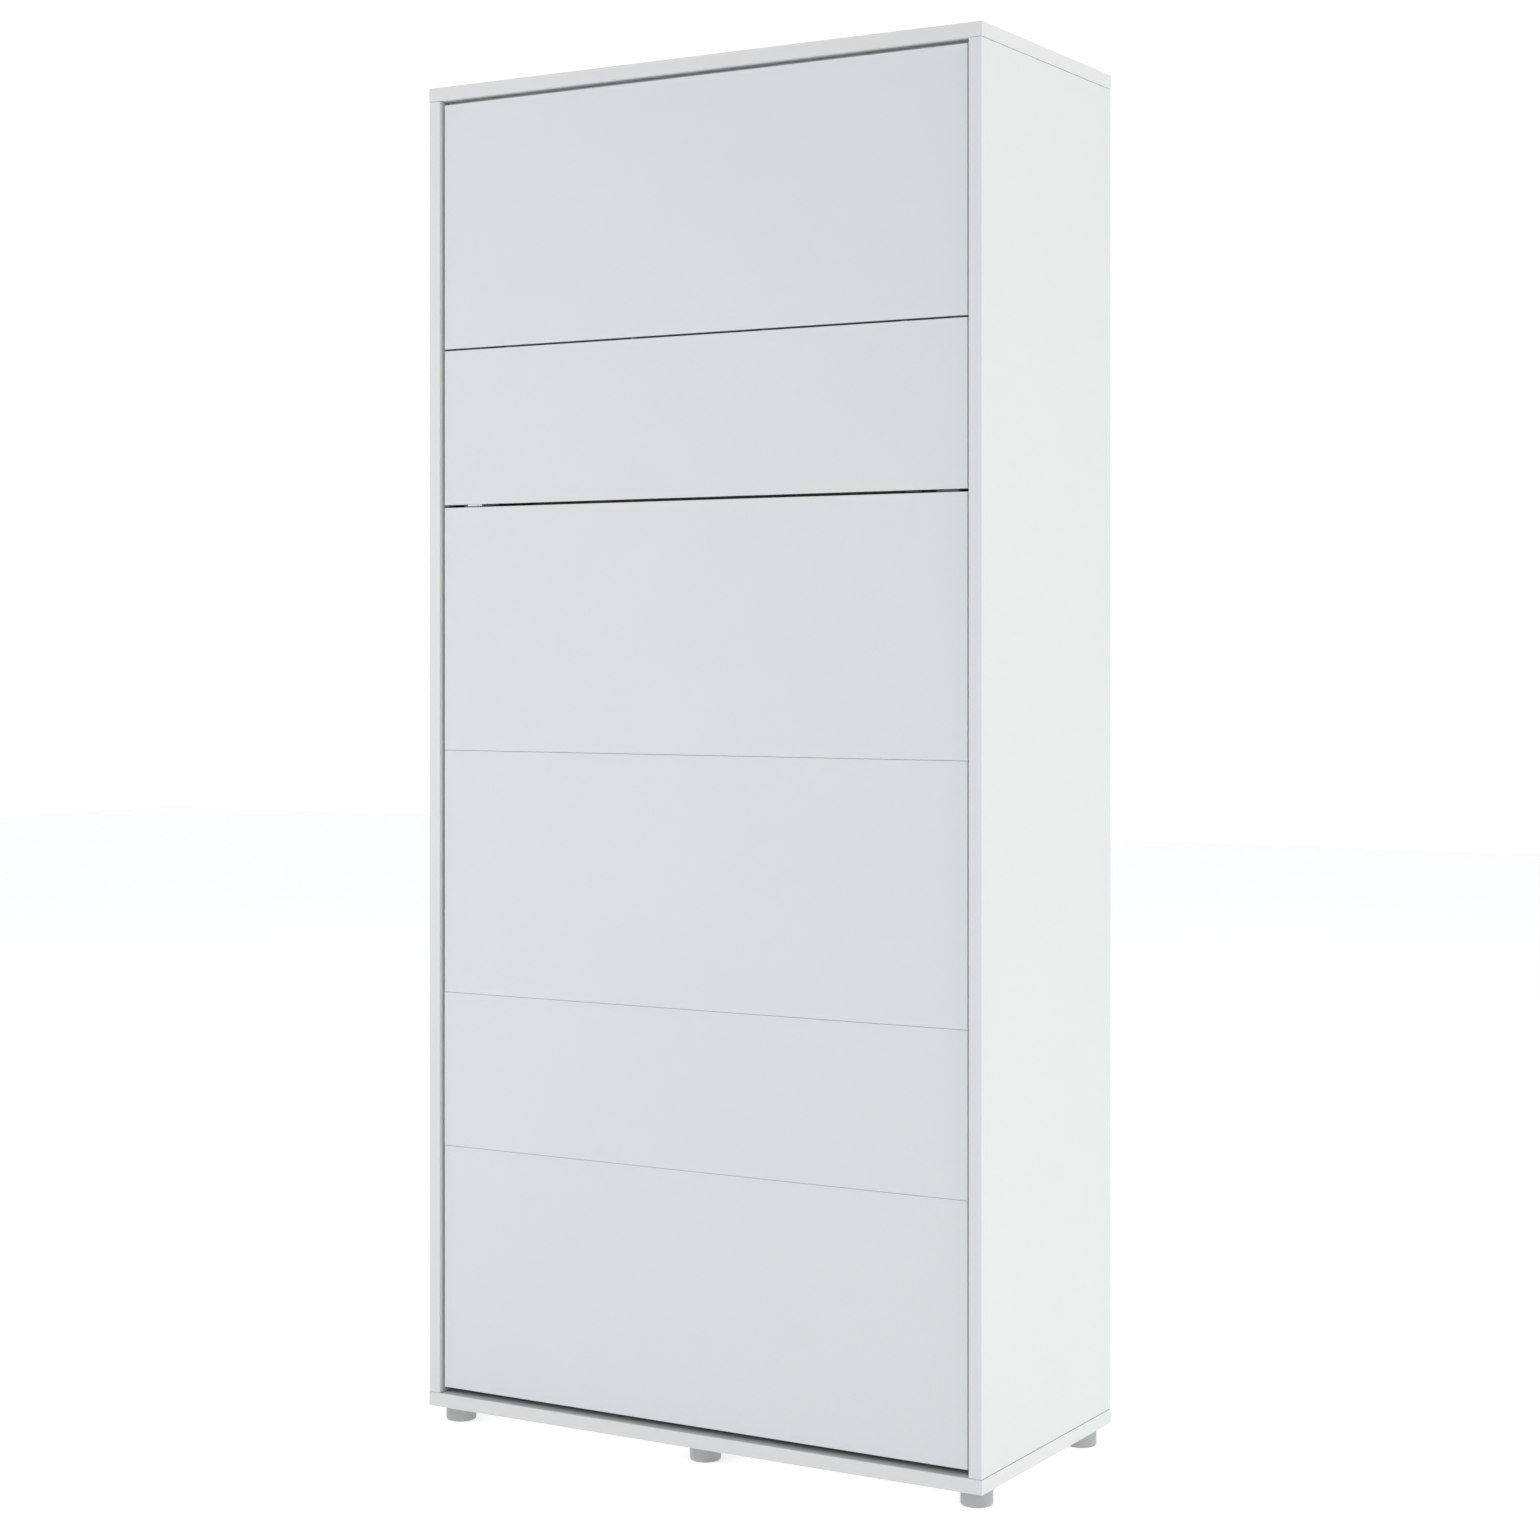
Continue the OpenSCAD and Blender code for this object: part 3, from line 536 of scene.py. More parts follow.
for node in ("left_side_panel", "right_side_panel"):
    banded_board(node, ((Y, -1), (Y, 1)), MATERIALS["white_laminate"], WHITE_BAND_WITH_PAINTED_SHADE, slit=OPEN_JOINT)
for node in ("top_board", "bottom_board"):
    banded_board(node, ((Y, -1), (Y, 1)), MATERIALS["white_laminate"], WHITE_BAND_WITH_PAINTED_SHADE)
for node, side in (("upper_rear_rail", -1), ("lower_rear_rail", 1), ("top_stop_batten", -1)):
    banded_board(node, ((Z, side),), MATERIALS["white_laminate"], WHITE_BAND_WITH_PAINTED_SHADE)
for node in ("top_front_panel", "leg_panel", "upper_middle_front_panel", "lower_middle_front_panel",
             "narrow_front_panel", "bottom_front_panel"):
    banded_board(node, ((X, -1), (X, 1), (Z, -1), (Z, 1)), MATERIALS["front_laminate"], FRONT_BAND)


# ---------------------------------------------------------------- softened CAD solids

def softened(node, width, segments=2, choose=sharp):
    """Stands in for a CAD node with its edges rounded."""
    bm = cleaned(node)
    round_edges(bm, width, segments, choose)
    stand_in(node, bm, suffix="form")


for node in ("left_bed_rail", "right_bed_rail"):
    softened(node, 3.0, 5, lambda e: sharp(e) and along(Z, e) and e.calc_length() > 1.0)
for node in ("foot_cross_tube", "lower_cross_tube", "middle_cross_tube", "upper_cross_tube",
             "leg_cross_tube", "head_cross_tube"):
    softened(node, 1.8, 4, lambda e: sharp(e) and along(X, e) and e.calc_length() > 0.5)
softened("slats", 2.4, 4, lambda e: sharp(e) and along(X, e))
softened("slat_holders", 3.0, 4, lambda e: sharp(e) and along(Y, e) and e.calc_length() > 9.5 * MM)
softened("mattress_stops", 12.0, 6,
         lambda e: sharp(e) and along(Z, e) and e.verts[0].co.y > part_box("mattress_stops")[1][1] - FLUSH)
softened("stop_bumpers", 3.0, 4)
for node, width in (("upper_back_panel", 0.3), ("lower_back_panel", 0.3), ("back_joining_strip", 0.3),
                    ("cam_locks", 0.25), ("left_hinge_plate", 0.5), ("right_hinge_plate", 0.5),
                    ("left_pivot_pin", 0.6), ("right_pivot_pin", 0.6), ("cylinder_studs", 0.4),
                    ("rod_studs", 0.4), ("rail_end_caps", 0.8), ("left_pivot_plate", 0.5),
                    ("right_pivot_plate", 0.5), ("pivot_bushes", 0.3), ("panel_spacers", 0.4),
                    ("leg_hinge_brackets", 0.35), ("leg_hinge_leaves", 0.25), ("leg_hinge_pins", 0.3),
                    ("leg_glides", 0.9), ("leg_catch_plate", 0.5), ("dowels", 0.6), ("cam_bolts", 0.4)):
    softened(node, width)


# ---------------------------------------------------------------- feet and screws

def middle(low, high):
    """The centre of a box."""
    return (low + high) / 2


def feet():
    """Moulded feet: a rolled lower rim, a shadow groove under the collar and a well for the screw."""
    bm = bmesh.new()
    fine = [TURN * i / 72 for i in range(72)]
    for low, high in solids("feet"):
        c = middle(low, high)
        r, h = (high.x - low.x) / 2, high.z - low.z
        well = [(2.1, h), (2.1, 16.0), (6.0, 16.0), (6.0, 0.8), (6.8, 0.0)]
        rim = [(r - 3.0, 0.0), (r - 1.9, 0.3), (r - 0.9, 1.1), (r - 0.2, 2.3), (r, 3.6)]
        groove = [(r, h - 5.2), (r - 0.3, h - 4.6), (r - 0.8, h - 4.4), (r - 0.8, h - 3.7),
                  (r - 0.2, h - 3.5), (r, h - 3.0)]
        rings = well + rim + groove + [(r, h - 0.6), (r - 0.4, h)]
        spin(bm, rings, at(c.x, c.y, low.z), closed=True, angles=fine)
    stand_in("feet", bm)


CROSS = (2.5, 0.55)
CROSS_ANGLES = cross_angles(*CROSS)


def cross_head(size, depth):
    """The first rings of a screw: the floor of the cross recess, then its rim on the head."""
    reach, half = CROSS
    return [(cross(reach * size * 0.7, half * size * 0.8), depth), (cross(reach * size, half * size), 0.0)]


def screws():
    """Cross-head screws and socket-head bolts with threads."""
    bm = bmesh.new()
    for low, high in solids("foot_screws"):
        c = middle(low, high)
        rings = cross_head(1.0, 1.8) + [(3.7, 0.0), (4.3, 0.5), (4.5, 1.2), (4.5, 3.0), (2.0, 3.0)]
        rings += thread_rings(2.0, 4.0, 28.0, 1.6) + [(0.4, high.z - low.z)]
        spin(bm, rings, at(c.x, c.y, low.z), angles=CROSS_ANGLES)
    stand_in("foot_screws", bm)

    bm = bmesh.new()
    for low, high in solids("hinge_plate_screws"):
        c = middle(low, high)
        rings = cross_head(0.95, 1.6) + [(4.2, 0.0), (4.6, 0.3), (2.0, 2.5), (2.0, high.x - low.x)]
        place = at(low.x, c.y, c.z, "X") if c.x > 0 else at(high.x, c.y, c.z, "-X")
        spin(bm, rings, place, angles=CROSS_ANGLES)
    stand_in("hinge_plate_screws", bm)

    bm = bmesh.new()
    for low, high in solids("pivot_plate_bolts"):
        c = middle(low, high)
        rings = [(hexagon(1.9), 2.4), (hexagon(2.0), 0.2), (hexagon(2.3), 0.0), (6.1, 0.0), (6.5, 0.4),
                 (3.4, 4.0)]
        rings += thread_rings(3.4, 4.6, 15.0, 1.0) + [(2.5, high.x - low.x)]
        place = at(high.x, c.y, c.z, "-X") if c.x > 0 else at(low.x, c.y, c.z, "X")
        spin(bm, rings, place)
    stand_in("pivot_plate_bolts", bm)

    bm = bmesh.new()
    for low, high in solids("panel_screws"):
        c = middle(low, high)
        rings = cross_head(1.0, 1.8)
        rings += [(3.4, 0.0), (4.2, 0.5), (4.5, 1.3), (4.5, 3.0), (2.0, 3.0), (2.0, 8.0)]
        rings += thread_rings(2.0, 8.4, 19.5, 1.6) + [(0.5, high.y - low.y)]
        spin(bm, rings, at(c.x, high.y, c.z, "-Y"), angles=CROSS_ANGLES)
    stand_in("panel_screws", bm)


feet()
screws()


# ---------------------------------------------------------------- gas springs

def spring_frame(start, end):
    """A local frame at a stud whose Z runs to the other stud and whose X is the stud's axis."""
    z = (end - start).normalized()
    x = Vector((1.0, 0.0, 0.0))
    y = z.cross(x)
    turn = Matrix((x, y, z)).transposed().to_4x4()
    return Matrix.Translation(start) @ turn @ Matrix.Scale(MM, 4)


def reach_of(node, start, end):
    """How far a node reaches from one stud towards the other, in millimetres."""
    z = (end - start).normalized()
    return max((v.co - start).dot(z) for v in NODES[node].data.vertices) / MM


def lock_nut(bm, start, place):
    """A hexagonal nut with chamfered faces, its base at a height above the stud's root."""
    rings = ((5.2, 0.0), (5.6, 0.6), (5.6, 4.6), (5.2, 5.2))
    spin(bm, [(hexagon(across), start + height) for across, height in rings], place)


def gas_springs():
    """Lathed cylinders and rods: crimped ends, a gland and wiper, lock nuts and rolled eyes."""
    eye = [(4.06, -4.5), (4.5, -5.0), (7.4, -5.0), (8.0, -4.4),
           (8.0, 4.4), (7.4, 5.0), (4.5, 5.0), (4.06, 4.5)]
    sideways = Matrix.Rotation(TURN / 4, 4, "Y")
    for side in ("left", "right"):
        top, foot = JOINT_AT[f"{side}_cylinder_tilt"], JOINT_AT[f"{side}_rod_tilt"]

        node = f"{side}_gas_cylinder"
        place, end = spring_frame(top, foot), reach_of(node, top, foot)
        bm = bmesh.new()
        spin(bm, eye, place @ sideways, closed=True)
        spin(bm, [(3.6, 6.0), (4.4, 7.0), (4.4, 20.0)], place)
        lock_nut(bm, 13.6, place)
        closed_end = [(4.4, 19.4), (6.4, 20.0), (8.1, 20.9), (8.8, 22.4), (9.0, 24.5)]
        crimp = [(9.0, end - 14.0), (8.5, end - 13.0), (8.4, end - 12.0), (8.5, end - 11.0),
                 (9.0, end - 10.0)]
        gland = [(9.0, end - 3.0), (8.6, end - 1.2), (7.8, end - 0.3), (6.6, end), (6.2, end - 0.8),
                 (4.6, end - 0.8), (4.1, end), (4.1, end - 6.0)]
        spin(bm, closed_end + crimp + gland + [(7.5, end - 6.0), (7.5, 24.0)], place)
        stand_in(node, bm)

        node = f"{side}_gas_rod"
        place, end = spring_frame(foot, top), reach_of(node, foot, top)
        bm = bmesh.new()
        spin(bm, eye, place @ sideways, closed=True)
        spin(bm, [(3.6, 6.0), (4.4, 7.0), (4.4, 20.0), (3.9, 20.6)], place)
        lock_nut(bm, 15.0, place)
        piston = [(7.0, end - 10.0), (7.4, end - 9.4), (7.4, end - 7.0), (6.6, end - 6.6), (6.6, end - 4.2),
                  (7.4, end - 3.8), (7.4, end - 0.6), (6.8, end)]
        spin(bm, [(3.0, 19.0), (4.0, 20.0), (4.0, end - 10.0)] + piston, place)
        stand_in(node, bm)


gas_springs()


# ---------------------------------------------------------------- mattress

# Lengths in millimetres; QUILT and CHANNEL count grid steps and border rows
STEP = 12.5
QUILT = 10
CORNER = 40.0
SHEET_INSET = 5.0
EDGE_ROLL = 70.0
BORDER_ROWS = 12
CHANNEL = 4
# How far the filling may push each part of the case outward
TOP_SWELL = 10.5
BASE_SWELL = 2.5
BORDER_SWELL = 5.2
QUILT_CREASE = 0.9
BORDER_CREASE = 0.8
PIPING_R = 3.2
STRAP_HALF = 25.0
HANDLE_AT = 620.0
HANDLE_HALF = 110.0
HANDLE_WIDE = 30.0
HANDLE_THICK = 1.6
CLOTH_FRAMES = 16


def quarter_round(a, b):
    """Maps the unit square onto the unit quarter disc, keeping its two straight sides."""
    return a * math.sqrt(1.0 - b * b / 2.0), b * math.sqrt(1.0 - a * a / 2.0)


def plan_point(u, v, half_w, half_l, inset):
    """A point of the mattress outline grid in plan, with its corners rounded and its edge drawn in."""
    start_w, start_l = half_w - CORNER, half_l - CORNER
    a, b = (abs(u) - start_w) / CORNER, (abs(v) - start_l) / CORNER
    if a > 0.0 and b > 0.0:
        a, b = quarter_round(a, b)
    shrink_w, shrink_l = (half_w - inset) / half_w, (half_l - inset) / half_l
    x = math.copysign(start_w + a * CORNER, u) if a > 0.0 else u
    y = math.copysign(start_l + b * CORNER, v) if b > 0.0 else v
    return x * shrink_w, y * shrink_l


def strap_heights():
    """The heights of the two straps over the mattress, in millimetres."""
    return [sum(c[2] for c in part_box(node)) / 2 / MM for node in ("lower_strap", "upper_strap")]


def mattress_shell():
    """The unfilled case as a grid: quilted top and bottom sheets joined by a border of three channels."""
    low, high = (Vector(c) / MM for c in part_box("mattress"))
    half_w, half_l = (high.x - low.x) / 2, (high.z - low.z) / 2
    mid_z = (low.z + high.z) / 2
    nx, nz = round(2 * half_w / STEP), round(2 * half_l / STEP)
    straps = strap_heights()
    bm = bmesh.new()
    crease = bm.edges.layers.float.new("crease_edge")
    pinned, held = set(), {}

    def seam(a, b, depth):
        bm.edges.get((a, b))[crease] = depth

    def sheet(top):
        """One quilted sheet; its diagonal lines, its rim and the part under a strap are pinned."""
        grid = {}
        for i in range(nx + 1):
            for j in range(nz + 1):
                u, v = -half_w + i * STEP, -half_l + j * 2 * half_l / nz
                x, z = plan_point(u, v, half_w, half_l, SHEET_INSET)
                edge = min(half_w - abs(u), half_l - abs(v))
                fall = max(0.0, 1.0 - edge / EDGE_ROLL) ** 2
                y = high.y - TOP_SWELL - 6.0 * fall if top else low.y + 1.5 + 7.0 * fall
                on_line = (i + j) % QUILT == 0 or (i - j) % QUILT == 0
                under_strap = top and any(abs(z + mid_z - s) < STRAP_HALF + 4.0 for s in straps)
                if under_strap:
                    y = min(y, high.y - 6.0 - 6.0 * fall)
                vert = bm.verts.new((x, y, z + mid_z))
                grid[i, j] = vert
                if on_line or under_strap or edge < 1.0:
                    pinned.add(vert)
                held[vert] = TOP_SWELL if top else BASE_SWELL
        for i in range(nx):
            for j in range(nz):
                a, b, c, d = grid[i, j], grid[i + 1, j], grid[i + 1, j + 1], grid[i, j + 1]
                if (i - j) % QUILT == 0:
                    bm.faces.new((a, b, c))
                    bm.faces.new((a, c, d))
                    seam(a, c, QUILT_CREASE)
                elif (i + j + 1) % QUILT == 0:
                    bm.faces.new((a, b, d))
                    bm.faces.new((b, c, d))
                    seam(b, d, QUILT_CREASE)
                else:
                    bm.faces.new((a, b, c, d))
        return grid

    upper, lower = sheet(True), sheet(False)
    rim = ([(i, 0) for i in range(nx)] + [(nx, j) for j in range(nz)]
           + [(i, nz) for i in range(nx, 0, -1)] + [(0, j) for j in range(nz, 0, -1)])
    rows = [[lower[k] for k in rim]]
    for step in range(1, BORDER_ROWS):
        t = step / BORDER_ROWS
        row = []
        for k in rim:
            a, b = lower[k].co, upper[k].co
            u, v = -half_w + k[0] * STEP, -half_l + k[1] * 2 * half_l / nz
            x, z = plan_point(u, v, half_w, half_l, SHEET_INSET)
            vert = bm.verts.new((x, a.y + (b.y - a.y) * t, z + mid_z))
            held[vert] = BORDER_SWELL
            strapped = any(abs(z + mid_z - s) < STRAP_HALF for s in straps)
            if step % CHANNEL == 0 or strapped:
                pinned.add(vert)
            row.append(vert)
        rows.append(row)
    rows.append([upper[k] for k in rim])
    for a, b in zip(rows, rows[1:]):
        for i in range(len(rim)):
            j = (i + 1) % len(rim)
            bm.faces.new((a[i], a[j], b[j], b[i]))
    for row in rows[::CHANNEL]:
        for i in range(len(rim)):
            seam(row[i], row[(i + 1) % len(rim)], BORDER_CREASE)
    bmesh.ops.recalc_face_normals(bm, faces=bm.faces)
    bm.verts.index_update()
    return bm, {v.index for v in pinned}, {v.index: reach for v, reach in held.items()}


def puffed(bm, pinned, held, frames):
    """Fills the case by cloth pressure, holds each vertex to its own limit, and returns the mesh."""
    bm.normal_update()
    mesh = bpy.data.meshes.new("mattress_case")
    bm.to_mesh(mesh)
    rest = [v.co.copy() for v in bm.verts]
    bm.free()
    mesh.transform(Matrix.Scale(MM, 4))
    case = bpy.data.objects.new("mattress_case", mesh)
    bpy.context.scene.collection.objects.link(case)
    group = case.vertex_groups.new(name="seams")
    group.add(sorted(pinned), 1.0, "REPLACE")
    cloth = case.modifiers.new("cloth", "CLOTH")
    settings = cloth.settings
    settings.vertex_group_mass = "seams"
    settings.quality = 3
    settings.mass = 0.25
    settings.use_pressure = True
    settings.uniform_pressure_force = 9.0
    settings.shrink_min = -0.07
    settings.tension_stiffness = 12.0
    settings.compression_stiffness = 12.0
    settings.shear_stiffness = 5.0
    settings.bending_stiffness = 0.6
    settings.effector_weights.gravity = 0.0
    cloth.collision_settings.use_collision = False
    cloth.point_cache.frame_start, cloth.point_cache.frame_end = 1, frames
    scene = bpy.context.scene
    for number in range(1, frames + 1):
        scene.frame_set(number)
    shaped = case.evaluated_get(bpy.context.evaluated_depsgraph_get())
    places = [v.co / MM for v in shaped.data.vertices]
    scene.frame_set(1)
    bpy.data.objects.remove(case)
    out = bmesh.new()
    out.from_mesh(mesh)
    out.verts.ensure_lookup_table()
    for i, vert in enumerate(out.verts):
        move = places[i] - rest[i]
        most = 0.0 if i in pinned else held[i]
        if move.length > most:
            soft = most * (1.0 - math.exp(-move.length / max(most, 1e-6)))
            move = move.normalized() * soft if most else Vector((0.0, 0.0, 0.0))
        vert.co = (rest[i] + move) * MM
    bpy.data.meshes.remove(mesh)
    return out


def tube(bm, path, radius, sides):
    """Sweeps a round section along a closed path of points in millimetres."""
    loops = []
    for n, p in enumerate(path):
        ahead = (path[(n + 1) % len(path)] - path[n - 1]).normalized()
        side = ahead.cross(Vector((0.0, 1.0, 0.0)))
        side = side.normalized() if side.length > 1e-3 else Vector((0.0, 0.0, 1.0))
        up = side.cross(ahead)
        turns = [TURN * k / sides for k in range(sides)]
        loops.append([bm.verts.new((p + side * (radius * math.cos(a)) + up * (radius * math.sin(a))) * MM)
                      for a in turns])
    skin(bm, loops, closed_path=True)


def outline_path(inset, spacing):
    """The mattress outline in plan, evenly spaced, as (x, z) points."""
    low, high = (Vector(c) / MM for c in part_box("mattress"))
    half_w, half_l = (high.x - low.x) / 2 - inset, (high.z - low.z) / 2 - inset
    mid = (low.z + high.z) / 2
    r = CORNER - inset
    points = []
    for cx, cz, start in ((1, 1, 0.0), (-1, 1, 0.25), (-1, -1, 0.5), (1, -1, 0.75)):
        for k in range(9):
            a = TURN * (start + 0.25 * k / 8)
            points.append((cx * (half_w - r) + r * math.cos(a), cz * (half_l - r) + r * math.sin(a) + mid))
    dense = []
    for (x0, z0), (x1, z1) in zip(points, points[1:] + points[:1]):
        n = max(1, round(math.hypot(x1 - x0, z1 - z0) / spacing))
        dense += [(x0 + (x1 - x0) * k / n, z0 + (z1 - z0) * k / n) for k in range(n)]
    return dense


def ribbon(bm, path, width_axis, width, thickness):
    """Sweeps a flat, round-edged section along (point, outward) pairs in millimetres."""
    wide = Vector(width_axis)
    half, t = width / 2, thickness / 2
    section = [(-half + t, -t), (0.0, -t), (half - t, -t), (half - 0.3 * t, -0.7 * t), (half, 0.0),
               (half - 0.3 * t, 0.7 * t), (half - t, t), (0.0, t), (-half + t, t),
               (-half + 0.3 * t, 0.7 * t), (-half, 0.0), (-half + 0.3 * t, -0.7 * t)]
    loops = [[bm.verts.new((p + wide * w + out * h) * MM) for w, h in section] for p, out in path]
    skin(bm, loops)


def mattress():
    """The filled case, the two piped seams round it, and two webbing handles on each side."""
    bm, pinned, held = mattress_shell()
    case = puffed(bm, pinned, held, CLOTH_FRAMES)
    made = stand_in("mattress", case, smooth=180.0, subdivide=1)

    low, high = (Vector(c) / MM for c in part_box("mattress"))
    for name, y in (("upper", high.y - 13.5), ("lower", low.y + 8.0)):
        bm = bmesh.new()
        path = [Vector((x, y, z)) for x, z in outline_path(PIPING_R + 0.2, 5.0)]
        tube(bm, path, PIPING_R, 10)
        piece(f"mattress_{name}_binding", bm, PIPING, "mattress_cloth", BODY_OF["mattress"], smooth=180.0)

    bm = bmesh.new()
    mid_y, mid_z = (low.y + high.y) / 2 - 4.0, (low.z + high.z) / 2
    for side in (-1, 1):
        for reach in (-1, 1):
            centre = mid_z + reach * HANDLE_AT
            path = []
            for k in range(-20, 21):
                t = k / 20
                lift = HANDLE_THICK
                if abs(t) < 0.86:
                    lift += 4.4 * (math.cos(math.pi * t) * 0.5 + 0.5)
                path.append((Vector((side * (high.x - 1.5 + lift * 0.8), mid_y, centre + t * HANDLE_HALF)),
                             Vector((side, 0.0, 0.0))))
            ribbon(bm, path, (0.0, 1.0, 0.0), HANDLE_WIDE, HANDLE_THICK)
    piece("mattress_handles", bm, MATERIALS["webbing"], "webbing", BODY_OF["mattress"], smooth=60.0)


mattress()


# ---------------------------------------------------------------- straps and buckles

STRAP_DIP = 3.6


def strap_path(node):
    """Half of a strap from the middle of the mattress to its rail, as (point, outward) pairs."""
    low, high = (Vector(c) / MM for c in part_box(node))
    z, x_out, y_top, y_end = (low.z + high.z) / 2, high.x - 1.0, high.y - 1.0, low.y
    bend = 16.0
    y_bend = y_top - 1.0 - bend
    path = []
    for k in range(25):
        t = k / 24
        x = t * (x_out - bend)
        path.append((Vector((x, y_top - STRAP_DIP * (1.0 - t ** 8) - 1.0, z)), Vector((0.0, 1.0, 0.0))))
    for k in range(1, 9):
        a = TURN / 4 * (1 - k / 8)
        path.append((Vector((x_out - bend + bend * math.cos(a), y_bend + bend * math.sin(a), z)),
                     Vector((math.cos(a), math.sin(a), 0.0))))
    for k in range(1, 17):
        t = k / 16
        y = y_bend + (y_end + 17.0 - y_top + bend) * t
        path.append((Vector((x_out - 0.4 * math.sin(math.pi * t), y, z)), Vector((1.0, 0.0, 0.0))))
    return path


def straps():
    """Two flat straps over the mattress, each bent down to the rails on both sides."""
    for node in ("upper_strap", "lower_strap"):
        right = strap_path(node)
        mirror = Vector((-1.0, 1.0, 1.0))
        left = [(p * mirror, out * mirror) for p, out in reversed(right[1:])]
        low, high = (Vector(c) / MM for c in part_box(node))
        bm = bmesh.new()
        ribbon(bm, left + right, (0.0, 0.0, 1.0), high.z - low.z, 1.7)
        stand_in(node, bm, smooth=60.0)


def slab(bm, outline, lift, place):
    """A moulded plate: an outline in (x, z), raised from lift[0] to lift[1] along Y, with rounded rims."""
    part = bmesh.new()
    loops = [[part.verts.new((place + Vector((x, y, z))) * MM) for x, z in outline] for y in lift]
    skin(part, loops)
    round_edges(part, 0.7, 3, sharp)
    mesh = bpy.data.meshes.new("slab")
    part.to_mesh(mesh)
    part.free()
    bm.from_mesh(mesh)
    bpy.data.meshes.remove(mesh)


def mirrored(half):
    """Closes an outline drawn on its upper side by its mirror image below."""
    return half + [(x, -z) for x, z in reversed(half)]


def buckles():
    """Side-release buckles: housing, sprung arms, gripping ribs, and the strap's tail folded back."""
    housing = mirrored([(-31.5, 17.0), (-27.0, 21.5), (-8.0, 23.8), (-4.5, 16.5), (4.5, 16.0)])
    plug = mirrored([(6.0, 16.0), (11.0, 20.5), (27.5, 22.0), (31.5, 18.0)])
    arm = [(-4.0, 17.5), (-2.0, 22.0), (4.0, 24.0), (10.5, 22.0), (10.5, 18.8), (2.0, 18.6)]
    bm, tails = bmesh.new(), bmesh.new()
    for low, high in solids("strap_buckles"):
        c = middle(low, high)
        place = Vector((c.x, high.y - STRAP_DIP - 1.0, c.z))
        slab(bm, housing, (-7.0, 0.0), place)
        slab(bm, plug, (-6.4, -0.8), place)
        for side in (-1, 1):
            slab(bm, [(x, side * z) for x, z in arm], (-5.6, -1.4), place)
        for x in (-25.0, -21.0, -17.0, -13.0):
            slab(bm, mirrored([(x, 13.0), (x + 1.8, 13.0)]), (-1.0, 1.0), place)
        for x in (16.0, 23.0):
            slab(bm, mirrored([(x, 18.5), (x + 2.6, 18.5)]), (-1.6, 0.7), place)
        up = Vector((0.0, 1.0, 0.0))
        line = [(14.0, -3.4), (17.5, -0.2), (20.0, 0.2), (27.5, -0.2), (34.0, -3.6)]
        line += [(34.0 + 6.0 * k, -4.7 + 0.8 * math.sin(k * 0.9)) for k in range(1, 15)]
        path = [(place + Vector((x, y, 0.0)), up) for x, y in line]
        ribbon(tails, path, (0.0, 0.0, 1.0), 36.0, 1.5)
        for k in range(2):
            end = 34.0 + 6.0 * 14 - 2.0 - 5.0 * k
            stitches(tails, [place + Vector((end, -3.2, z)) for z in range(-15, 16, 3)])
    stand_in("strap_buckles", bm)
    piece("strap_tails", tails, MATERIALS["webbing"], "webbing", BODY_OF["upper_strap"])


def stitches(bm, points, gap=0.9, radius=0.35):
    """A row of short raised stitches through a list of points in millimetres."""
    for a, b in zip(points, points[1:]):
        run = (b - a).normalized()
        side = run.cross(Vector((0.0, 1.0, 0.0))).normalized()
        up = side.cross(run)
        loops = []
        end = (b - a).length - gap
        for t, swell in ((gap, 0.4), (gap + 0.5, 1.0), (end - 0.5, 1.0), (end, 0.4)):
            centre = a + run * t
            r = radius * swell
            loops.append([bm.verts.new((centre + side * (r * math.cos(TURN * k / 6))
                                        + up * (r * math.sin(TURN * k / 6))) * MM) for k in range(6)])
        skin(bm, loops)


straps()
buckles()


# ---------------------------------------------------------------- studio and camera

DAYLIGHT = 0.57
SEEN_WHITE = 1.05
FLOOR_GLOW = 0.46
FLOOR_HALF = 14.0
EYE = (2.364, -4.009, 1.255)
HEADING = 30.44


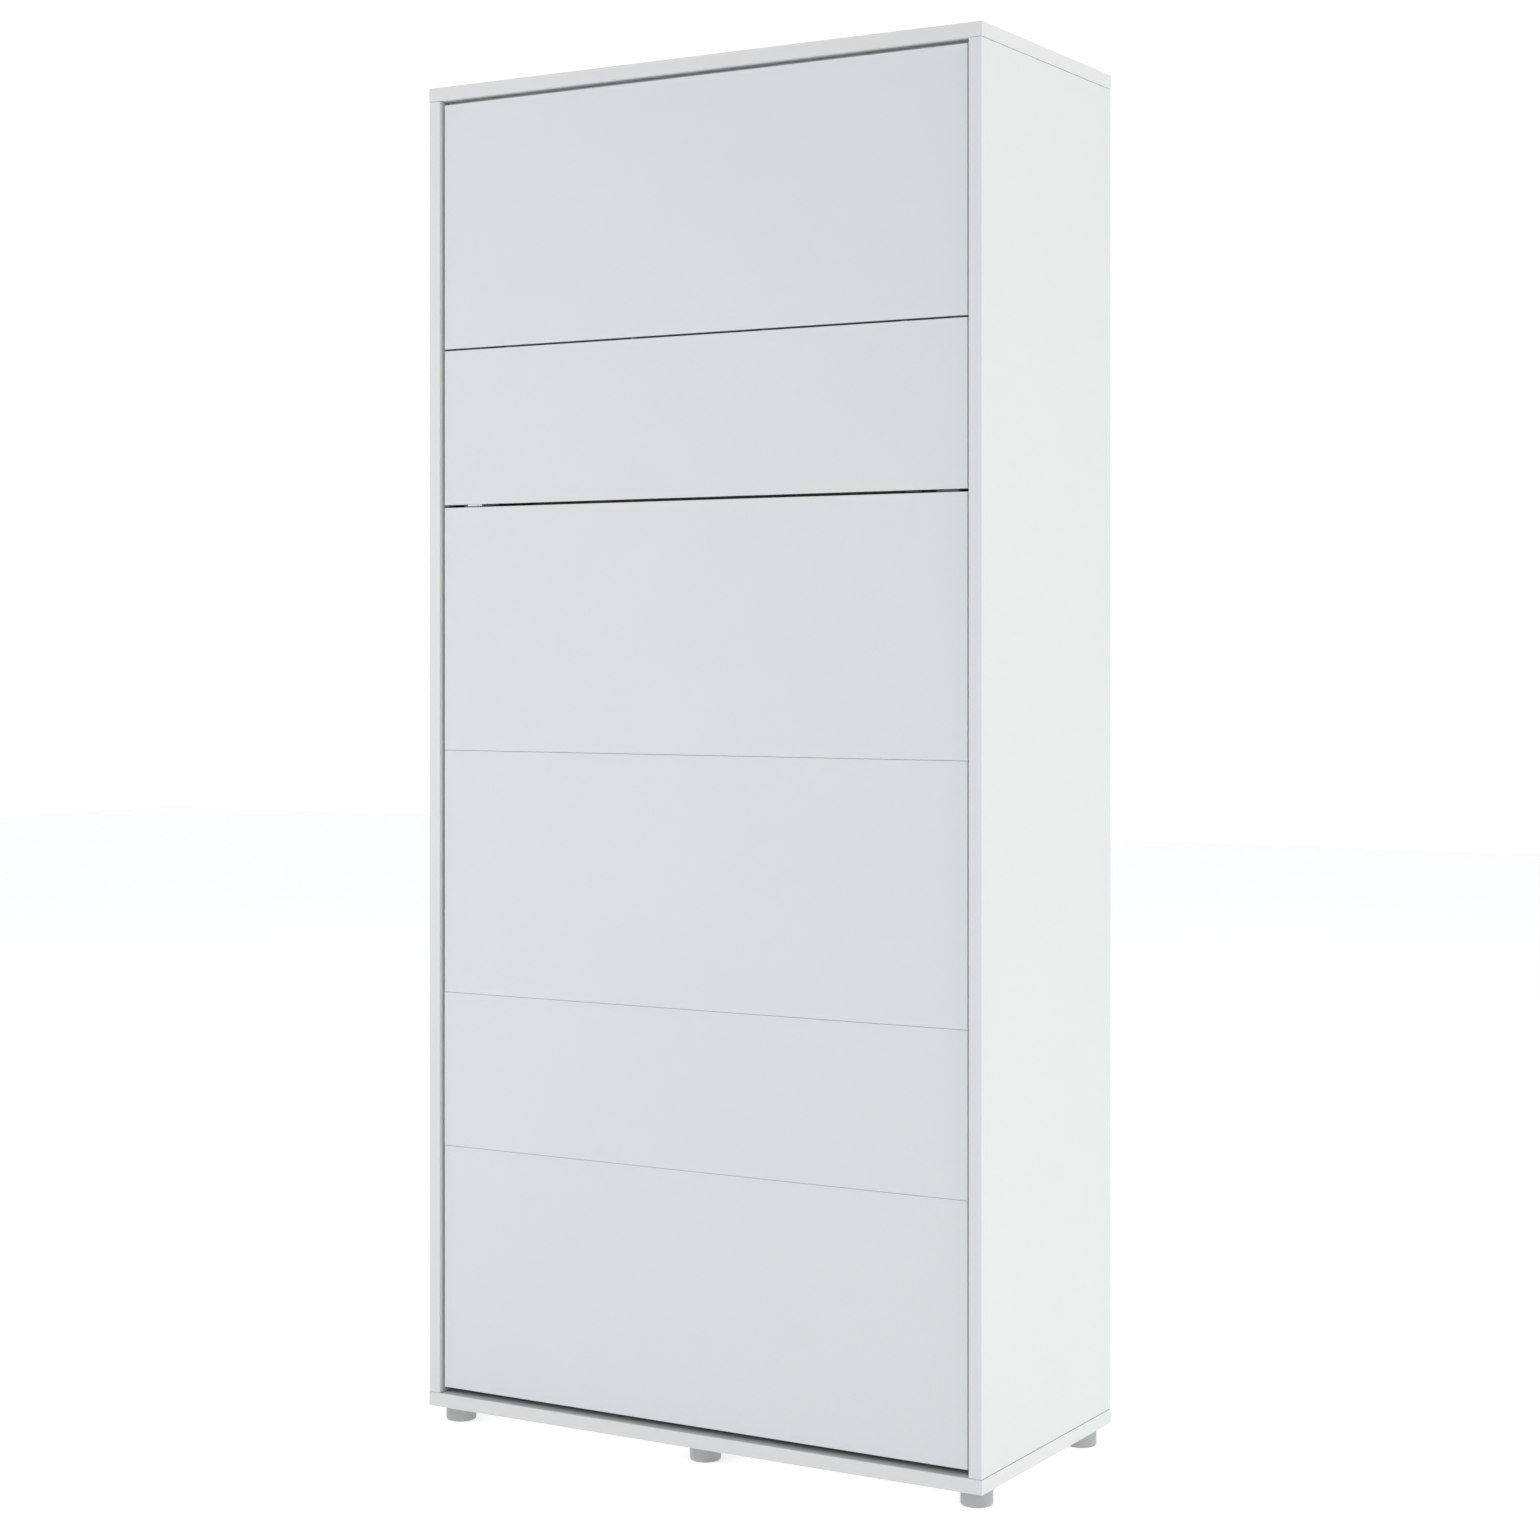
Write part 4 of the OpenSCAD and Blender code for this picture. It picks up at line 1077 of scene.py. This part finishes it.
def studio():
    """A white surround that lights faintly and is seen bright, and a pale floor that glows a little."""
    world = bpy.data.worlds.new("studio")
    bpy.context.scene.world = world
    world.use_nodes = True
    tree = world.node_tree
    light = tree.nodes["Background"]
    light.inputs["Color"].default_value = (0.965, 0.982, 1.0, 1.0)
    light.inputs["Strength"].default_value = DAYLIGHT
    white = tree.nodes.new("ShaderNodeBackground")
    white.inputs["Color"].default_value = (1.0, 1.0, 1.0, 1.0)
    white.inputs["Strength"].default_value = SEEN_WHITE
    seen = tree.nodes.new("ShaderNodeLightPath")
    mix = tree.nodes.new("ShaderNodeMixShader")
    tree.links.new(seen.outputs["Is Camera Ray"], mix.inputs["Fac"])
    tree.links.new(light.outputs["Background"], mix.inputs[1])
    tree.links.new(white.outputs["Background"], mix.inputs[2])
    tree.links.new(mix.outputs["Shader"], tree.nodes["World Output"].inputs["Surface"])

    floor_mesh = bpy.data.meshes.new("floor")
    bm = bmesh.new()
    bmesh.ops.create_grid(bm, x_segments=1, y_segments=1, size=FLOOR_HALF)
    bm.to_mesh(floor_mesh)
    bm.free()
    floor = bpy.data.objects.new("floor", floor_mesh)
    bpy.context.scene.collection.objects.link(floor)
    shade = Shader("pale floor")
    shade.colour(shade.blend_colours(shade.noise(1.2), (0.90, 0.90, 0.90), (0.93, 0.93, 0.93)))
    shade.constants(roughness=0.8)
    shade.bsdf.inputs["Emission Color"].default_value = (1.0, 1.0, 1.0, 1.0)
    shade.bsdf.inputs["Emission Strength"].default_value = FLOOR_GLOW
    floor_mesh.materials.append(shade.material)


def softbox(name, place, aim, size, power, colour):
    """A rectangular lamp at a place, aimed at a point."""
    lamp = bpy.data.lights.new(name, "AREA")
    lamp.shape = "RECTANGLE"
    lamp.size, lamp.size_y = size
    lamp.energy = power
    lamp.color = colour
    box = bpy.data.objects.new(name, lamp)
    box.location = place
    box.rotation_euler = (Vector(aim) - Vector(place)).to_track_quat("-Z", "Y").to_euler()
    bpy.context.scene.collection.objects.link(box)


def camera():
    """The photograph's camera: level, with its frame shifted down."""
    data = bpy.data.cameras.new("camera")
    data.sensor_width = 36.0
    data.lens = 67.37
    data.shift_x = -0.0003
    data.shift_y = -0.0754
    data.clip_end = 60.0
    eye = bpy.data.objects.new("camera", data)
    eye.location = EYE
    eye.rotation_euler = (math.radians(90.0), 0.0, math.radians(HEADING))
    bpy.context.scene.collection.objects.link(eye)
    bpy.context.scene.camera = eye


studio()
softbox("key light", (5.0, 0.2, 2.4), (0.3, 0.0, 1.1), (3.2, 3.2), 83.0, (1.0, 0.98, 0.955))
softbox("front light", (2.6, -5.6, 4.9), (0.0, -0.2, 1.2), (1.1, 1.1), 46.0, (1.0, 1.0, 1.0))
softbox("fill light", (-2.6, -3.4, 1.6), (-0.2, -0.2, 1.1), (2.4, 2.4), 38.0, (0.92, 0.96, 1.0))
softbox("top light", (0.0, 1.4, 5.6), (0.0, 0.1, 2.0), (1.0, 2.4), 50.0, (1.0, 1.0, 1.0))
camera()
bpy.context.scene.view_settings.view_transform = "Standard"
